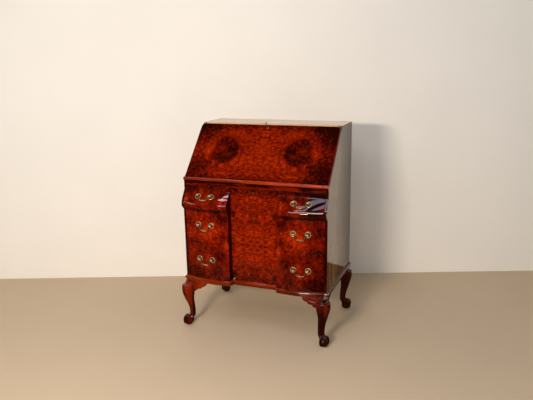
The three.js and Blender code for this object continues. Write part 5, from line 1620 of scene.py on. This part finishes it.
# Distance from the middle over which the painted shadow of the bureau, in the wall that polish sees, fades back
# to pale
WALL_SHADE = (0.48, 0.60)


def make_camera():
    """Sets the camera, and says which ways are straight ahead and right."""
    c, s = math.cos(CAMERA_YAW), math.sin(CAMERA_YAW)
    heading, right, up = Vector((-s, c, 0)), Vector((c, s, 0)), Vector((0, 0, 1))
    forward = math.cos(CAMERA_PITCH) * heading - math.sin(CAMERA_PITCH) * up
    down = -math.sin(CAMERA_PITCH) * heading - math.cos(CAMERA_PITCH) * up
    cr, sr = math.cos(CAMERA_ROLL), math.sin(CAMERA_ROLL)
    data = bpy.data.cameras.new("view_camera")
    data.lens = CAMERA_LENS
    data.sensor_width = CAMERA_SENSOR
    data.sensor_fit = "HORIZONTAL"
    camera = new_object("view_camera", data)
    axes = Matrix((cr * right - sr * down, -(sr * right + cr * down), -forward)).transposed()
    camera.matrix_world = Matrix.Translation(CAMERA_PLACE) @ axes.to_4x4()
    bpy.context.scene.camera = camera
    return heading, right


def make_lamp(name, place, aim, power, colour, wide, high, along):
    """A flat rectangular lamp that faces a point, with its width along a direction."""
    data = bpy.data.lights.new(name, "AREA")
    data.energy = power
    data.color = colour
    data.shape = "RECTANGLE"
    data.size, data.size_y = wide, high
    lamp = new_object(name, data)
    back = (Vector(place) - Vector(aim)).normalized()
    across = (Vector(along) - back * back.dot(Vector(along))).normalized()
    axes = Matrix((across, back.cross(across), back)).transposed()
    lamp.matrix_world = Matrix.Translation(place) @ axes.to_4x4()
    lamp.visible_camera = False


def flat_sheet(name, corners, look):
    mesh = bpy.data.meshes.new(name)
    mesh.from_pydata(corners, [], [tuple(range(len(corners)))])
    mesh.materials.append(FINISHES[look])
    made = new_object(name, mesh)


def mixed_shader(share, first, second):
    return share.into("ShaderNodeMixShader", {0: share, 1: first, 2: second})


def mix_stage(name, colour, mirrored, is_wall=False):
    """A plain surface that polish sees in its own tone; a wall carries a painted shadow there, and is clear
    from behind.
    """
    place = new_material(name)
    tint = ramp(noise(place, 2.2, 3.0), (0.3, darker(colour, 0.035)), (0.7, colour))
    seen = (*mirrored, 1)
    if is_wall:
        x, _, z = place.parts
        # Painted shadow: near the middle and below the case's top, the wall that polish sees is darker.
        pale = spread(abs(x), *WALL_SHADE).maths("MAXIMUM", spread(z, CASE_TOP - 0.05, CASE_TOP + 0.05))
        seen = laid_over((*darker(mirrored, 0.55), 1), pale, seen)
    tree = place.socket.id_data
    glossy = Field(node(tree, "ShaderNodeLightPath").outputs["Is Glossy Ray"])
    surface = place.into("ShaderNodeBsdfPrincipled", {
        "Base Color": laid_over(tint, glossy, seen), "Roughness": 0.8, "Specular IOR Level": 0.2})
    if is_wall:
        behind = Field(node(tree, "ShaderNodeNewGeometry").outputs["Backfacing"])
        surface = mixed_shader(behind, surface, place.into("ShaderNodeBsdfTransparent", {}))
    node(tree, "ShaderNodeOutputMaterial", {"Surface": surface})


def make_world(ambient):
    """Light from all sides; polished surfaces see a dim room in front and below, paler behind."""
    world = bpy.data.worlds.new("room")
    bpy.context.scene.world = world
    world.use_nodes = True
    tree = world.node_tree
    tree.nodes.clear()
    path = node(tree, "ShaderNodeLightPath").outputs
    behind = Field(node(tree, "ShaderNodeTexCoord").outputs["Generated"]).parts[1]
    level = spread(behind, -0.2, 0.7).maths("MULTIPLY_ADD", 0.5, 0.004)
    mirrored = laid_over((0, 0, 0, 1), level, (1, 0.9, 0.78, 1))
    room, mirror, pale = (
        level.into("ShaderNodeBackground", {"Color": colour, "Strength": strength}) for colour, strength in (
            ((0.93, 0.97, 1.0, 1), ambient), (mirrored, 1.0), ((0.86, 0.82, 0.74, 1), 1.0)))
    lit = mixed_shader(Field(path["Is Glossy Ray"]), room, mirror)
    node(tree, "ShaderNodeOutputWorld", {"Surface": mixed_shader(Field(path["Is Camera Ray"]), lit, pale)})


class BUREAU_OT_stage(bpy.types.Operator):
    """Set the camera, the lamps, the floor and the wall"""
    bl_idname = "bureau.stage"
    bl_label = "Stage"

    def execute(self, context):
        stage = context.scene.bureau_stage
        heading, right = make_camera()
        for name, place, aim, power, share, colour, wide, high, along in LAMPS:
            make_lamp("lamp_" + name, place, aim, getattr(stage, power) * share, colour, wide, high, along)
        mix_stage("pale_wall", stage.wall[:], stage.wall[:], is_wall=True)
        mix_stage("pale_floor", stage.floor[:], stage.floor_mirrored[:])
        foot = [WALL_POINT - ROOM_HALF * right, WALL_POINT + ROOM_HALF * right]
        top = [p + Vector((0, 0, ROOM_TALL)) for p in foot]
        front = [p - ROOM_DEEP * heading for p in foot]
        flat_sheet("wall", [foot[0], foot[1], top[1], top[0]], "pale_wall")
        flat_sheet("floor", [front[0], front[1], foot[1], foot[0]], "pale_floor")
        make_world(stage.ambient)
        context.scene.view_settings.view_transform = "Standard"
        return {"FINISHED"}


STEPS = (
    BUREAU_OT_stage, BUREAU_OT_finishes, BUREAU_OT_case, BUREAU_OT_drawer_fronts, BUREAU_OT_fall,
    BUREAU_OT_base, BUREAU_OT_legs, BUREAU_OT_handles, BUREAU_OT_locks, BUREAU_OT_screws, BUREAU_OT_inside,
)
GROUPS = {
    "bureau_sizes": BureauSizes, "bureau_handles": BureauHandles, "bureau_legs": BureauLegs,
    "bureau_finishes": BureauFinishes, "bureau_stage": BureauStage,
}


class BUREAU_PT_panel(bpy.types.Panel):
    """Lists the bureau's sizes and its pieces"""
    bl_label = "Writing bureau"
    bl_idname = "BUREAU_PT_panel"
    bl_space_type = "VIEW_3D"
    bl_region_type = "UI"
    bl_category = "Bureau"

    def draw(self, context):
        layout = self.layout
        for step in STEPS:
            layout.operator(step.bl_idname)
        for name, group in GROUPS.items():
            box = layout.box()
            for prop in group.__annotations__:
                box.prop(getattr(context.scene, name), prop)


def register():
    for name, group in GROUPS.items():
        bpy.utils.register_class(group)
        setattr(bpy.types.Scene, name, bpy.props.PointerProperty(type=group))
    for step in STEPS:
        bpy.utils.register_class(step)
    bpy.utils.register_class(BUREAU_PT_panel)


def unregister():
    bpy.utils.unregister_class(BUREAU_PT_panel)
    for step in reversed(STEPS):
        bpy.utils.unregister_class(step)
    for name, group in GROUPS.items():
        delattr(bpy.types.Scene, name)
        bpy.utils.unregister_class(group)


def main():
    register()
    for step in STEPS:
        space, name = step.bl_idname.split(".")
        getattr(getattr(bpy.ops, space), name)()


if __name__ == "__main__":
    main()
